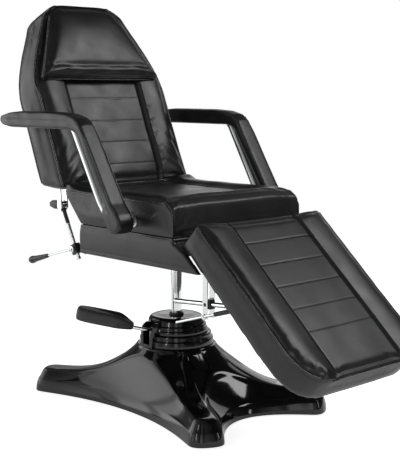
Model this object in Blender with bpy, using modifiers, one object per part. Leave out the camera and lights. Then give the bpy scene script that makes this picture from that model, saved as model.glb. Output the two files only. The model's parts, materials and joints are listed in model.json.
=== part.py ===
"""Facial treatment bed: a hydraulic salon chair with a reclining back, a lifting leg rest,
two lift-off armrests, a head pillow and a four-armed floor base.

Metres, +Z up. The origin is on the floor on the pump's axis. The sitter looks along -Y and
the sitter's left hand is at +X.
"""

import math

import bmesh
import bpy
from mathutils import Matrix, Vector

# ---- driving dimensions -------------------------------------------------------------------
GAP = 0.0003                    # air between pieces that touch

SEAT_HALF = 0.280               # half the width of seat, back and leg rest
SEAT_FRONT = -0.300
SEAT_REAR = 0.165
SEAT_TOP_REAR = 0.250           # the cushion leans out over its board
SEAT_TOP = 0.715
BOARD_TOP = 0.6165
BOARD_THICK = 0.018
BOX_BOTTOM = 0.520
PANEL_THICK = 0.016

BACK_LEAN = math.radians(22.6)  # from upright
BACK_ORIGIN = (0.250, 0.722)    # y and z where the back's front face starts
BACK_HEIGHT = 0.686
BACK_HEEL = 0.47                # rise of the back's lower end for each metre behind its face
BACK_CUSHION = 0.100
BACK_BOARD = 0.018
BACK_HINGE = (0.275, 0.618)

LEG_SLOPE = math.radians(41.5)  # below level
LEG_ORIGIN = (-0.390, 0.668)
LEG_LENGTH = 0.595
LEG_CUSHION = 0.078
LEG_BOARD = 0.0142
LEG_HINGE = (-0.323, 0.5865)

FRAME_LOW = 0.552               # seat frame of square tube
FRAME_TUBE = 0.025
FRAME_WIDE = 0.030
FRAME_FRONT = -0.280
FRAME_REAR = 0.140

PLATE = 0.005                   # hinge plates
BACK_EAR_X = 0.140
LEG_EAR_X = 0.1845
PIN_RADIUS = 0.005
PIN_CLEAR = 0.0004

BACK_STRUT_RADIUS = 0.0065
LEG_STRUT_RADIUS = 0.0080
BACK_STRUT_X = -0.185
BACK_STRUT_TOP = (0.389, 0.649)
BACK_STRUT_SPAN = 0.160         # from the top pin to the lock
BACK_STRUT_LENGTH = 0.200
LEG_STRUT_X = -0.100
LEG_LOCK = (-0.265, 0.388)
LEG_STRUT_ANGLE = math.radians(4.4)     # the rod rises a little towards the leg rest
LEG_STRUT_LENGTH = 0.305
LOCK_SIZE = (0.024, 0.030, 0.036)
TRUNNION_RADIUS = 0.006
TRUNNION_BORE = 0.0065
LEG_LEVER_PIN = (-0.271, 0.3525)
LEG_LEVER_SLOPE = math.radians(-17)
LEVER_PIN_RADIUS = 0.004

ARM_X = 0.345
ARM_WIDE = 0.062
ARM_TUBE = 0.0125
ARM_FOOT = (-0.132, 0.653)

PISTON_RADIUS = 0.018
PISTON_BOTTOM = 0.125           # clear of the base frame at the end of the down stroke
SOCKET_FLOOR = 0.540            # where the ram's head bears in the seat's socket
PUMP_TOP = 0.300
COVER_TOP = 0.205
FOOT_ANGLE = math.radians(59.0)
FOOT_REACH = 0.508
FOOT_HEIGHT = 0.075
PAD_REACH = 0.445
FRAME_BAR_LOW = 0.0125          # underside of the steel bars in the base

PEDAL_PIVOT = (-0.098, 0.0, 0.262)
PEDAL_THICK = 0.038

COLLECTION = "facial_treatment_bed"
CUTTERS = "cutters"


# ---- scene and materials ------------------------------------------------------------------
def clear_scene():
    for thing in list(bpy.data.objects):
        bpy.data.objects.remove(thing, do_unlink=True)


def new_collection(name):
    collection = bpy.data.collections.new(name)
    bpy.context.scene.collection.children.link(collection)
    return collection


def material(name, colour, roughness, metallic=0.0):
    made = bpy.data.materials.get(name)
    if made:
        return made
    made = bpy.data.materials.new(name)
    made.use_nodes = True
    shader = made.node_tree.nodes["Principled BSDF"]
    shader.inputs["Base Color"].default_value = (*colour, 1.0)
    shader.inputs["Roughness"].default_value = roughness
    shader.inputs["Metallic"].default_value = metallic
    return made


def vinyl():
    return material("black_vinyl", (0.012, 0.012, 0.013), 0.42)


def chrome():
    return material("chrome", (0.82, 0.83, 0.84), 0.12, 1.0)


def black_steel():
    return material("black_painted_steel", (0.02, 0.02, 0.02), 0.5, 0.3)


def gloss_plastic():
    return material("gloss_black_plastic", (0.008, 0.008, 0.008), 0.12)


def matte_plastic():
    return material("matte_black_plastic", (0.02, 0.02, 0.02), 0.5)


def rubber():
    return material("black_rubber", (0.018, 0.018, 0.018), 0.75)


def plywood():
    return material("plywood", (0.45, 0.31, 0.18), 0.7)


# ---- shape helpers ------------------------------------------------------------------------
def place(name, data, paint, parent=None, at=(0, 0, 0), turn=(0, 0, 0), cutter=False):
    """Link an object built from data, with its location and rotation under its parent."""
    thing = bpy.data.objects.new(name, data)
    bpy.data.collections[CUTTERS if cutter else COLLECTION].objects.link(thing)
    if not cutter:
        thing.data.materials.append(paint)
    thing.parent = parent
    thing.location = at
    thing.rotation_euler = turn
    if cutter:
        thing.hide_render = True
        thing.display_type = "WIRE"
    return thing


def empty(name, at, turn=(0, 0, 0), parent=None):
    """A joint's frame. at is in the parent's frame."""
    thing = bpy.data.objects.new(name, None)
    bpy.data.collections[COLLECTION].objects.link(thing)
    thing.parent = parent
    thing.location = at
    thing.rotation_euler = turn
    return thing


def box_mesh(name, low, high):
    work = bmesh.new()
    size = [h - l for l, h in zip(low, high)]
    middle = [(l + h) / 2 for l, h in zip(low, high)]
    bmesh.ops.create_cube(work, size=1.0, matrix=Matrix.Translation(middle) @ Matrix.Diagonal((*size, 1.0)))
    mesh = bpy.data.meshes.new(name)
    work.to_mesh(mesh)
    work.free()
    return mesh


def rod_mesh(name, start, end, radius, sides=16):
    """A straight round bar from start to end."""
    start = Vector(start)
    along = Vector(end) - start
    turn = along.to_track_quat("Z", "Y").to_matrix().to_4x4()
    work = bmesh.new()
    bmesh.ops.create_cone(work, cap_ends=True, segments=sides, radius1=radius, radius2=radius,
                          depth=along.length, matrix=Matrix.Translation(start + along / 2) @ turn)
    mesh = bpy.data.meshes.new(name)
    work.to_mesh(mesh)
    work.free()
    smooth(mesh)
    return mesh


def smooth(mesh):
    mesh.shade_smooth()
    mesh.set_sharp_from_angle(angle=math.radians(35))


def turned(name, profile, paint, parent=None, at=(0, 0, 0), turn=(0, 0, 0), steps=32, cutter=False):
    """A closed profile of (radius, height) turned about Z; it runs down its outer side."""
    mesh = bpy.data.meshes.new(name)
    count = len(profile)
    ends_on_axis = profile[0][0] == 0 and profile[-1][0] == 0
    edges = [(i, i + 1) for i in range(count - 1)]
    if not ends_on_axis:
        edges.append((count - 1, 0))
    mesh.from_pydata([(r, 0, z) for r, z in profile], edges, [])
    thing = place(name, mesh, paint, parent, at, turn, cutter)
    screw = thing.modifiers.new("turn", "SCREW")
    screw.steps = steps
    screw.render_steps = steps
    screw.use_merge_vertices = True
    screw.merge_threshold = 0.00001
    screw.use_smooth_shade = True
    return thing


def plate_mesh(name, outline, low, high):
    """A flat outline of (y, z) points, given thickness along X from low to high."""
    work = bmesh.new()
    corners = [work.verts.new((low, y, z)) for y, z in outline]
    face = work.faces.new(corners)
    moved = bmesh.ops.extrude_face_region(work, geom=[face])["geom"]
    shift = [v for v in moved if isinstance(v, bmesh.types.BMVert)]
    bmesh.ops.translate(work, vec=(high - low, 0, 0), verts=shift)
    bmesh.ops.recalc_face_normals(work, faces=work.faces[:])
    mesh = bpy.data.meshes.new(name)
    work.to_mesh(mesh)
    work.free()
    return mesh


def tube_mesh(name, points, radius, bends=5):
    """A round tube along a path of straight runs and rounded bends, as a closed mesh."""
    curve = bpy.data.curves.new(name + "_path", "CURVE")
    curve.dimensions = "3D"
    curve.bevel_depth = radius
    curve.bevel_resolution = 2
    curve.use_fill_caps = True
    curve.resolution_u = 1
    curve.render_resolution_u = 0
    path = curve.splines.new("POLY")
    run = rounded_path(points, bends)
    path.points.add(len(run) - 1)
    for point, place_at in zip(path.points, run):
        point.co = (*place_at, 1.0)
    guide = bpy.data.objects.new(name + "_path", curve)
    bpy.context.scene.collection.objects.link(guide)
    shape = guide.evaluated_get(bpy.context.evaluated_depsgraph_get())
    mesh = bpy.data.meshes.new_from_object(shape)
    bpy.data.objects.remove(guide, do_unlink=True)
    work = bmesh.new()
    work.from_mesh(mesh)
    bmesh.ops.remove_doubles(work, verts=work.verts[:], dist=0.00001)
    bmesh.ops.recalc_face_normals(work, faces=work.faces[:])
    work.to_mesh(mesh)
    work.free()
    smooth(mesh)
    return mesh


def rounded_path(points, bends):
    """Replace each inner corner (x, y, z, bend length) of a path by a quadratic curve."""
    run = [Vector(points[0][:3])]
    for before, corner, after in zip(points, points[1:], points[2:]):
        middle = Vector(corner[:3])
        start = middle + (Vector(before[:3]) - middle).normalized() * corner[3]
        end = middle + (Vector(after[:3]) - middle).normalized() * corner[3]
        for step in range(bends + 1):
            t = step / bends
            run.append(start * (1 - t) ** 2 + middle * 2 * t * (1 - t) + end * t ** 2)
    run.append(Vector(points[-1][:3]))
    return run


def arc(centre, radius, start, end, steps=6):
    """Points on an arc, angles in degrees, in the (y, z) plane."""
    return [(centre[0] + radius * math.cos(math.radians(start + (end - start) * i / steps)),
             centre[1] + radius * math.sin(math.radians(start + (end - start) * i / steps)))
            for i in range(steps + 1)]


def combine(thing, mesh, operation="DIFFERENCE"):
    """Cut a mesh from a piece, or join it on; the mesh is in the piece's own frame."""
    tool = place(thing.name + "_" + operation.lower(), mesh, None, thing.parent,
                 thing.location, thing.rotation_euler, cutter=True)
    change = thing.modifiers.new(operation.lower(), "BOOLEAN")
    change.operation = operation
    change.object = tool
    return thing


def rounded(thing, width, segments=2, angle=40):
    bevel = thing.modifiers.new("rounded", "BEVEL")
    bevel.width = width
    bevel.segments = segments
    bevel.limit_method = "ANGLE"
    bevel.angle_limit = math.radians(angle)
    return thing


def turned_about(point, centre, angle):
    """Turn a (y, z) point about a centre, top towards -Y for a positive angle."""
    y = point[0] - centre[0]
    z = point[1] - centre[1]
    return (centre[0] + y * math.cos(angle) - z * math.sin(angle),
            centre[1] + y * math.sin(angle) + z * math.cos(angle))


# ---- base and pump ------------------------------------------------------------------------
def foot_centres():
    """Angles of the four arms, counter-clockwise from +X."""
    return [FOOT_ANGLE, math.pi - FOOT_ANGLE, math.pi + FOOT_ANGLE, -FOOT_ANGLE]


def star_ring(reach, half_width, side_waist, end_waist, steps=7):
    """The cover's plan at one level: four foot ends joined by hollow curves."""
    ring = []
    angles = foot_centres()
    for number, angle in enumerate(angles):
        along = Vector((math.cos(angle), math.sin(angle)))
        across = Vector((-along.y, along.x))
        leaving = along * reach + across * half_width
        ring.append(along * reach - across * half_width)
        ring.append(along * (reach + half_width * 0.16))
        ring.append(leaving)
        following = angles[(number + 1) % 4]
        ahead = Vector((math.cos(following), math.sin(following)))
        arriving = ahead * reach - Vector((-ahead.y, ahead.x)) * half_width
        middle = (leaving + arriving) / 2
        waist = end_waist if abs(middle.y) > abs(middle.x) else side_waist
        pull = middle.normalized() * (2 * waist) - middle
        for step in range(1, steps):
            t = step / steps
            ring.append(leaving * (1 - t) ** 2 + pull * 2 * t * (1 - t) + arriving * t ** 2)
    return ring


def cover_height(radius):
    """Height of the cover's ridges at a distance from the pump's axis."""
    fall = (radius - 0.13) / (0.40 - 0.13)
    fall = min(max(fall, 0.0), 1.0)
    return FOOT_HEIGHT + 0.008 + (COVER_TOP - FOOT_HEIGHT - 0.008) * (1 - fall) ** 2.4


def base_cover():
    """A moulded shell with four arms and a raised middle that the tower stands on."""
    skirt = star_ring(FOOT_REACH, 0.056, 0.215, 0.318)
    lip = star_ring(FOOT_REACH - 0.006, 0.0525, 0.207, 0.309)
    edge = star_ring(FOOT_REACH - 0.020, 0.040, 0.158, 0.215)
    ridge = star_ring(FOOT_REACH - 0.034, 0.028, 0.146, 0.195)
    rings = [[(p.x, p.y, 0.004) for p in skirt]]
    rings.append([(p.x, p.y, 0.042) for p in lip])
    rings.append([(p.x, p.y, cover_height(p.length) - 0.012) for p in edge])
    rings.append([(p.x, p.y, cover_height(p.length)) for p in ridge])
    for share in (0.35, 0.7):
        ring = []
        for p in ridge:
            radius = p.length + (0.138 - p.length) * share
            q = p.normalized() * radius
            ring.append((q.x, q.y, cover_height(radius)))
        rings.append(ring)
    for radius in (0.134, 0.096):
        rings.append([(*(p.normalized() * radius), COVER_TOP) for p in ridge])
    work = bmesh.new()
    levels = [[work.verts.new(c) for c in ring] for ring in rings]
    count = len(skirt)
    for low, high in zip(levels, levels[1:]):
        for i in range(count):
            j = (i + 1) % count
            work.faces.new((low[i], low[j], high[j], high[i]))
    bmesh.ops.recalc_face_normals(work, faces=work.faces[:])
    mesh = bpy.data.meshes.new("base_cover")
    work.to_mesh(mesh)
    work.free()
    smooth(mesh)
    cover = place("base_cover", mesh, gloss_plastic())
    shell = cover.modifiers.new("wall", "SOLIDIFY")
    shell.thickness = 0.004
    shell.offset = -1.0
    shell.use_even_offset = False


def base_frame():
    """Two steel bars crossing under the cover, with a disc that carries the pump."""
    low = FRAME_BAR_LOW
    high = low + 0.025
    reach = PAD_REACH + 0.025
    mesh = rod_mesh("base_frame", (0, 0, low), (0, 0, high), 0.090, 40)
    frame = place("base_frame", mesh, black_steel())
    for angle in (FOOT_ANGLE, math.pi - FOOT_ANGLE):
        bar = box_mesh("bar", (-reach, -0.022, low), (reach, 0.022, high - 0.002))
        bar.transform(Matrix.Rotation(angle, 4, "Z"))
        combine(frame, bar, "UNION")


def foot_pads():
    """A rubber pad under the end of each arm and one under the pump."""
    profile = [(0, FRAME_BAR_LOW - GAP), (0.021, FRAME_BAR_LOW - GAP), (0.024, 0.002), (0.022, 0), (0, 0)]
    spots = [(PAD_REACH * math.cos(angle), PAD_REACH * math.sin(angle), 0) for angle in foot_centres()]
    spots.append((0, 0, 0))
    for number, at in enumerate(spots, 1):
        turned("foot_pad_%d" % number, profile, rubber(), at=at, steps=20)


def pump_cylinder():
    """Oil reservoir below and working cylinder above, bored for the piston."""
    bore = PISTON_RADIUS + PIN_CLEAR
    turned("pump_cylinder", [(bore, PUMP_TOP - 0.0045), (0.030, PUMP_TOP - 0.0045), (0.030, 0.235),
                             (0.078, 0.228), (0.078, 0.0378), (bore, 0.0378)], black_steel())


def tower_parts():
    """The stepped round casing of the pump, notched for the pedal's port."""
    wall = 0.004
    hole = PISTON_RADIUS + 0.0065
    cap = turned("tower_cap", [(hole, PUMP_TOP), (0.086, PUMP_TOP), (0.0915, 0.2965), (0.094, 0.290),
                               (0.098, 0.264), (0.103, 0.262), (0.1055, 0.2445), (0.1055 - wall, 0.2445),
                               (0.094, 0.260), (0.089, 0.288), (0.086, PUMP_TOP - wall),
                               (hole, PUMP_TOP - wall)], gloss_plastic(), steps=40)
    collar = turned("tower_collar", [(0.100, 0.2442), (0.1165, 0.2442), (0.119, 0.241),
                                     (0.1265, 0.2056), (0.1225, 0.2056), (0.115, 0.2405),
                                     (0.100, 0.2405)], gloss_plastic(), steps=40)
    combine(cap, box_mesh("window", (-0.2, -0.0285, 0.20), (-0.0885, 0.0285, 0.291)))
    combine(collar, box_mesh("notch", (-0.2, -0.0285, 0.20), (-0.0885, 0.0285, 0.291)))
    turned("gland_ring", [(PISTON_RADIUS + PIN_CLEAR, 0.306), (0.0225, 0.306), (0.0240, 0.303),
                          (0.0240, PUMP_TOP - 0.004), (PISTON_RADIUS + PIN_CLEAR, PUMP_TOP - 0.004)],
           rubber())


def pedal_port():
    """A box on the tower's side with a tall slot that the pedal's arm swings in."""
    port = place("pedal_port", box_mesh("pedal_port", (-0.135, -0.028, 0.206), (-0.089, 0.028, 0.287)),
                 gloss_plastic())
    combine(port, box_mesh("slot", (-0.150, -0.0155, 0.216), (-0.0895 + 0.004, 0.0155, 0.300)))
    combine(port, rod_mesh("axle", (PEDAL_PIVOT[0], -0.020, PEDAL_PIVOT[2]),
                           (PEDAL_PIVOT[0], 0.020, PEDAL_PIVOT[2]), PIN_RADIUS), "UNION")


def pedal(parent):
    """The foot pedal: a bent chrome arm on a cross axle and a moulded pad."""
    eye = rod_mesh("pedal_arm", (0, -0.007, 0), (0, 0.007, 0), 0.0105)
    arm = place("pedal_arm", eye, chrome(), parent)
    path = [(-0.007, 0, 0.0005), (-0.036, 0.0, 0.004, 0.012), (-0.150, 0.112, 0.034)]
    combine(arm, tube_mesh("pedal_rod", path, 0.006), "UNION")
    combine(arm, rod_mesh("pedal_bore", (0, -0.02, 0), (0, 0.02, 0), PIN_RADIUS + PIN_CLEAR))
    start = Vector((-0.067, 0.031, 0.010))
    heading = math.radians(135)
    outline = [(0.0, 0.018), (0.030, 0.040), (0.165, 0.043), (0.187, 0.034), (0.194, 0.0)]
    outline += [(x, -y) for x, y in reversed(outline[:-1])]
    work = bmesh.new()
    face = work.faces.new([work.verts.new((x, y, 0)) for x, y in outline])
    moved = bmesh.ops.extrude_face_region(work, geom=[face])["geom"]
    raised = [v for v in moved if isinstance(v, bmesh.types.BMVert)]
    bmesh.ops.translate(work, vec=(0, 0, PEDAL_THICK), verts=raised)
    bmesh.ops.recalc_face_normals(work, faces=work.faces[:])
    mesh = bpy.data.meshes.new("pedal_pad")
    work.to_mesh(mesh)
    work.free()
    mesh.transform(Matrix.Translation(start) @ Matrix.Rotation(heading, 4, "Z")
                   @ Matrix.Rotation(math.radians(-7), 4, "Y"))
    pad = place("pedal_pad", mesh, rubber(), parent)
    rounded(pad, 0.004, 2, 30)
    deeper = path[:-1] + [tuple(1.02 * c for c in path[-1])]
    combine(pad, tube_mesh("pedal_socket", deeper, 0.0066))


def piston(parent):
    """The ram that lifts the seat."""
    bottom = PISTON_BOTTOM - parent.location.z
    top = SOCKET_FLOOR - GAP * 2 - parent.location.z
    rod = rod_mesh("piston_rod", (0, 0, bottom), (0, 0, top), PISTON_RADIUS, 40)
    place("piston_rod", rod, chrome(), parent)


# ---- seat ---------------------------------------------------------------------------------
def swivel_plate(parent):
    """A socket over the piston's head, welded under the plate that the seat frame is bolted to."""
    bore = PISTON_RADIUS + PIN_CLEAR
    high = FRAME_LOW - GAP - 0.0002
    profile = [(0, high), (0.085, high), (0.085, high - 0.0055), (0.032, high - 0.0055),
               (0.030, SOCKET_FLOOR - 0.016), (bore, SOCKET_FLOOR - 0.016), (bore, SOCKET_FLOOR),
               (0, SOCKET_FLOOR)]
    turned("swivel_plate", profile, black_steel(), parent)


def seat_frame(parent):
    """A ladder of square tube under the seat board."""
    low, high = FRAME_LOW, FRAME_LOW + FRAME_TUBE
    inside = SEAT_HALF - PANEL_THICK - GAP * 2
    frame = place("seat_frame", box_mesh("seat_frame", (-inside, FRAME_REAR - FRAME_WIDE, low),
                                         (inside, FRAME_REAR, high)), black_steel(), parent)
    combine(frame, box_mesh("front_tube", (-inside, FRAME_FRONT, low),
                            (inside, FRAME_FRONT + FRAME_WIDE, high)), "UNION")
    for side in (-1, 1):
        x = side * 0.100
        combine(frame, box_mesh("long_tube", (x - FRAME_WIDE / 2, FRAME_FRONT + 0.010, low + 0.0002),
                                (x + FRAME_WIDE / 2, FRAME_REAR - 0.010, high - 0.0002)), "UNION")


def seat_board(parent):
    low = BOARD_TOP - BOARD_THICK
    place("seat_board", box_mesh("seat_board", (-SEAT_HALF + 0.001, SEAT_FRONT + 0.002, low),
                                 (SEAT_HALF - 0.001, SEAT_REAR - 0.002, BOARD_TOP)), plywood(), parent)


def seat_cushion(parent):
    """The cushion, whose rear end leans out towards the back."""
    low = BOARD_TOP + GAP
    outline = [(SEAT_REAR - 0.004, low), (SEAT_TOP_REAR, SEAT_TOP - 0.006), (SEAT_TOP_REAR - 0.02, SEAT_TOP),
               (SEAT_FRONT + 0.03, SEAT_TOP), (SEAT_FRONT, SEAT_TOP - 0.022), (SEAT_FRONT, low)]
    place("seat_cushion", plate_mesh("seat_cushion", outline, -SEAT_HALF, SEAT_HALF), vinyl(), parent)


def box_front(z):
    """Where the seat box's front end clears the lowered leg rest at a height."""
    normal = (-math.sin(LEG_SLOPE), math.cos(LEG_SLOPE))
    behind = 0.0965
    y = LEG_ORIGIN[0] - normal[0] * behind
    top = LEG_ORIGIN[1] - normal[1] * behind
    return y - (top - z) / math.tan(LEG_SLOPE)


def seat_box(parent):
    """Upholstered panels that close the seat's sides and rear below the board."""
    high = BOARD_TOP - BOARD_THICK - GAP
    knee = 0.575
    outline = [(SEAT_REAR, BOX_BOTTOM), (SEAT_REAR, high), (SEAT_FRONT - 0.010, high),
               (box_front(knee), knee), (box_front(BOX_BOTTOM), BOX_BOTTOM)]
    for side, name in ((1, "seat_side_left"), (-1, "seat_side_right")):
        inner = side * (SEAT_HALF - PANEL_THICK)
        outer = side * SEAT_HALF
        panel = plate_mesh(name, outline, min(inner, outer), max(inner, outer))
        place(name, panel, vinyl(), parent)
    inside = SEAT_HALF - PANEL_THICK - GAP
    front = SEAT_REAR - PANEL_THICK
    mesh = box_mesh("seat_rear_panel", (-inside, front, BOX_BOTTOM), (inside, SEAT_REAR, high))
    rear = place("seat_rear_panel", mesh, vinyl(), parent)
    for side in (-1, 1):
        low = min(side * (BACK_EAR_X - 0.002), side * (BACK_EAR_X + PLATE + 0.002))
        combine(rear, box_mesh("ear_slot", (low, SEAT_REAR - 0.03, 0.551),
                               (low + PLATE + 0.004, SEAT_REAR + 0.01, 0.61)))
    low = BACK_STRUT_X + LOCK_SIZE[0] / 2 - 0.0035
    combine(rear, box_mesh("lock_slot", (low, SEAT_REAR - 0.03, 0.51), (low + 0.014, SEAT_REAR + 0.01, 0.551)))


# ---- hinges -------------------------------------------------------------------------------
def hinge_pin(name, side, at, parent):
    """A headed pin along X; its shank runs inwards from the ear's outer face."""
    head, shank_end = 0.010, -0.0080
    shoulder = PLATE + 0.0010
    profile = [(0, head), (0.009, head), (0.009, shoulder), (PIN_RADIUS, shoulder), (PIN_RADIUS, shank_end),
               (0, shank_end)]
    turned(name, profile, chrome(), parent, at, (0, side * math.pi / 2, 0), 16)


def back_hinge_ears(parent):
    y, z = BACK_HINGE
    outline = [(FRAME_REAR + GAP, 0.5550), (0.235, 0.5800)] + arc(BACK_HINGE, 0.017, -50, 130)
    outline += [(0.172, 0.5965), (FRAME_REAR + GAP, 0.5965)]
    for side, name in ((1, "left"), (-1, "right")):
        inner = side * BACK_EAR_X
        outer = side * (BACK_EAR_X + PLATE)
        ear = place("back_hinge_ear_" + name, plate_mesh("ear", outline, min(inner, outer), max(inner, outer)),
                    black_steel(), parent)
        combine(ear, rod_mesh("bore", (inner - side * 0.01, y, z), (outer + side * 0.01, y, z),
                              PIN_RADIUS + PIN_CLEAR))
        hinge_pin("back_hinge_pin_" + name, side, (side * (BACK_EAR_X + PLATE), y, z), parent)


def leg_hinge_ears(parent):
    y, z = LEG_HINGE
    outline = [(FRAME_FRONT - GAP, 0.5770), (FRAME_FRONT - GAP, 0.5540), (-0.300, 0.5600)]
    outline += list(reversed(arc(LEG_HINGE, 0.0115, 100, 240)))
    outline.append((-0.300, 0.5975))
    for side, name in ((1, "left"), (-1, "right")):
        inner = side * LEG_EAR_X
        outer = side * (LEG_EAR_X + PLATE)
        ear = place("leg_hinge_ear_" + name, plate_mesh("ear", outline, min(inner, outer), max(inner, outer)),
                    black_steel(), parent)
        combine(ear, rod_mesh("bore", (inner - side * 0.01, y, z), (outer + side * 0.01, y, z),
                              PIN_RADIUS + PIN_CLEAR))
        hinge_pin("leg_hinge_pin_" + name, side, (side * (LEG_EAR_X + PLATE), y, z), parent)


def hinge_arm(name, outline, side, inner_x, pivot, paint, parent):
    """A flat arm beside an ear, bored for the hinge's pin; outline and pivot are local."""
    inner = side * (inner_x + PLATE + GAP * 2)
    outer = side * (inner_x + 2 * PLATE + GAP)
    arm = place(name, plate_mesh("arm", outline, min(inner, outer), max(inner, outer)), paint, parent)
    combine(arm, rod_mesh("bore", (inner - side * 0.01, *pivot), (outer + side * 0.01, *pivot),
                          PIN_RADIUS + PIN_CLEAR))


# ---- back ---------------------------------------------------------------------------------
def back_half_width(s):
    """Half the back's width at a distance s up its face."""
    waist, shoulder = 0.38, 0.62
    lower, upper = 0.284, 0.186
    if s < waist:
        return lower
    if s < shoulder:
        return lower - (lower - upper) * ((s - waist) / (shoulder - waist)) ** 1.4
    return upper * math.sqrt(max(0.0, 1 - ((s - shoulder) / 0.088) ** 2))


def back_outline(inset, top, steps=10):
    half = [(back_half_width(0) - inset, 0.0)]
    for i in range(1, steps + 1):
        s = 0.34 + (top - 0.34) * i / steps
        half.append((back_half_width(s) - inset, s))
    return half + [(-x, s) for x, s in reversed(half)]


def back_slab(name, front, rear, inset, top, paint, parent):
    """A flat slab in the back's plane, between two depths behind its front face."""
    mesh = plate_mesh(name, [(x, s) for x, s in back_outline(inset, top)], front, rear)
    mesh.transform(Matrix(((0, 1, 0, 0), (1, 0, 0, 0), (0, 0, 1, 0), (0, 0, 0, 1))))
    mesh.flip_normals()
    slab = place(name, mesh, paint, parent)
    near, far = -0.010, 0.150
    heel = [(near, -0.100), (near, near * BACK_HEEL), (far, far * BACK_HEEL), (far, -0.100)]
    return combine(slab, plate_mesh("heel", heel, -0.300, 0.300))


def back(pivot):
    """The reclining back, in a frame that lies in its front face."""
    origin = Vector((0, BACK_ORIGIN[0] - BACK_HINGE[0], BACK_ORIGIN[1] - BACK_HINGE[1]))
    plane = empty("back_plane", origin, (-BACK_LEAN, 0, 0), pivot)
    rear = BACK_CUSHION + GAP + BACK_BOARD
    back_slab("back_cushion", 0.0, BACK_CUSHION, 0.0, BACK_HEIGHT, vinyl(), plane)
    back_slab("back_board", BACK_CUSHION + GAP, rear, 0.004, BACK_HEIGHT - 0.006, plywood(), plane)
    hinge = local_of(BACK_HINGE, BACK_ORIGIN, -BACK_LEAN)
    arms = arc(hinge, 0.016, -200, 0)
    arms += [(rear + 0.026, 0.000), (rear + 0.026, 0.150), (rear + GAP, 0.165), (rear + GAP, -0.004)]
    for side, name in ((1, "left"), (-1, "right")):
        hinge_arm("back_hinge_arm_" + name, arms, side, BACK_EAR_X, hinge, black_steel(), plane)
    back_strut_bracket(plane, rear)
    return plane


def local_of(point, origin, angle):
    """A (y, z) point in a frame at origin turned by angle about X."""
    y = point[0] - origin[0]
    z = point[1] - origin[1]
    return (y * math.cos(angle) + z * math.sin(angle), -y * math.sin(angle) + z * math.cos(angle))


def back_strut_bracket(plane, rear):
    """Two cheeks and a cross pin on the back's rear that hold the strut's upper eye."""
    y, z = local_of(BACK_STRUT_TOP, BACK_ORIGIN, -BACK_LEAN)
    foot, head = 0.060, 0.120
    flange = box_mesh("back_strut_bracket", (BACK_STRUT_X - 0.017, rear + GAP, foot),
                      (BACK_STRUT_X + 0.017, rear + 0.0045, head))
    bracket = place("back_strut_bracket", flange, chrome(), plane)
    cheek = [(rear + 0.002, foot), (rear + 0.002, head - 0.010)] + arc((y, z), 0.012, 40, -140)
    clevis(bracket, BACK_STRUT_X, cheek, (y, z))


def clevis(bracket, x, cheek, pivot):
    """Join two cheeks and a cross pin on to a bracket's flange, on each side of x."""
    for side in (-1, 1):
        low = x + side * 0.0130 - 0.0020
        combine(bracket, plate_mesh("cheek", cheek, low, low + 0.0040), "UNION")
    combine(bracket, rod_mesh("pin", (x - 0.0165, *pivot), (x + 0.0165, *pivot), PIN_RADIUS), "UNION")


def head_pillow(parent):
    """A wedge pillow that rests on the upper back; its lower edge is the thick one."""
    low, high = 0.392, 0.680
    front, thick = -GAP, 0.040
    cage = bpy.data.meshes.new("head_pillow")
    work = bmesh.new()
    middle = -0.012             # it sits a little towards the sitter's right
    for s, half, depth in ((low, 0.257, thick), (high, 0.132, 0.016)):
        for x in (middle - half, middle + half):
            for y in (front, front - depth):
                work.verts.new((x, y, s))
    bmesh.ops.convex_hull(work, input=work.verts[:])
    bmesh.ops.recalc_face_normals(work, faces=work.faces[:])
    work.to_mesh(cage)
    work.free()
    rounded(place("head_pillow", cage, vinyl(), parent), 0.008, 2, 30)


# ---- leg rest -----------------------------------------------------------------------------
def leg_outline(inset):
    """Plan of the leg rest: straight sides and a rounded far end; y runs towards the foot."""
    half = [(0.275 - inset, inset), (0.275 - inset, 0.44)]
    for i in range(1, 7):
        t = i / 6
        along = 0.44 + (LEG_LENGTH - inset - 0.44) * (1 - (1 - t) ** 1.6)
        half.append((0.275 - inset - 0.100 * t ** 2.2, along))
    return half + [(-x, s) for x, s in reversed(half)]


def leg_slab(name, top, bottom, inset, paint, parent):
    mesh = plate_mesh(name, leg_outline(inset), bottom, top)
    mesh.transform(Matrix(((0, 1, 0, 0), (0, 0, -1, 0), (1, 0, 0, 0), (0, 0, 0, 1))))
    mesh.flip_normals()
    return place(name, mesh, paint, parent)


def leg_rest(pivot):
    """The leg rest, in a frame that lies in its upper face."""
    origin = Vector((0, LEG_ORIGIN[0] - LEG_HINGE[0], LEG_ORIGIN[1] - LEG_HINGE[1]))
    plane = empty("leg_plane", origin, (LEG_SLOPE, 0, 0), pivot)
    under = -LEG_CUSHION - GAP - LEG_BOARD
    leg_slab("leg_cushion", 0.0, -LEG_CUSHION, 0.0, vinyl(), plane)
    leg_slab("leg_board", -LEG_CUSHION - GAP, under, 0.004, plywood(), plane)
    hinge = local_of(LEG_HINGE, LEG_ORIGIN, LEG_SLOPE)
    arms = arc(hinge, 0.011, 80, -90)
    arms += [(-0.050, under - 0.026), (-0.150, under - 0.022), (-0.165, under - GAP), (-0.020, under - GAP)]
    for side, name in ((1, "left"), (-1, "right")):
        hinge_arm("leg_hinge_arm_" + name, arms, side, LEG_EAR_X, hinge, black_steel(), plane)
    leg_strut_bracket(plane, under)
    return plane


def leg_strut_end():
    """The leg strut's pin on the leg rest: as far from the hinge as the lock is."""
    y = LEG_LOCK[0] - LEG_HINGE[0]
    z = LEG_LOCK[1] - LEG_HINGE[1]
    reach = 2 * (y * math.cos(LEG_STRUT_ANGLE) - z * math.sin(LEG_STRUT_ANGLE))
    return (LEG_LOCK[0] - reach * math.cos(LEG_STRUT_ANGLE), LEG_LOCK[1] + reach * math.sin(LEG_STRUT_ANGLE))


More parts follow.
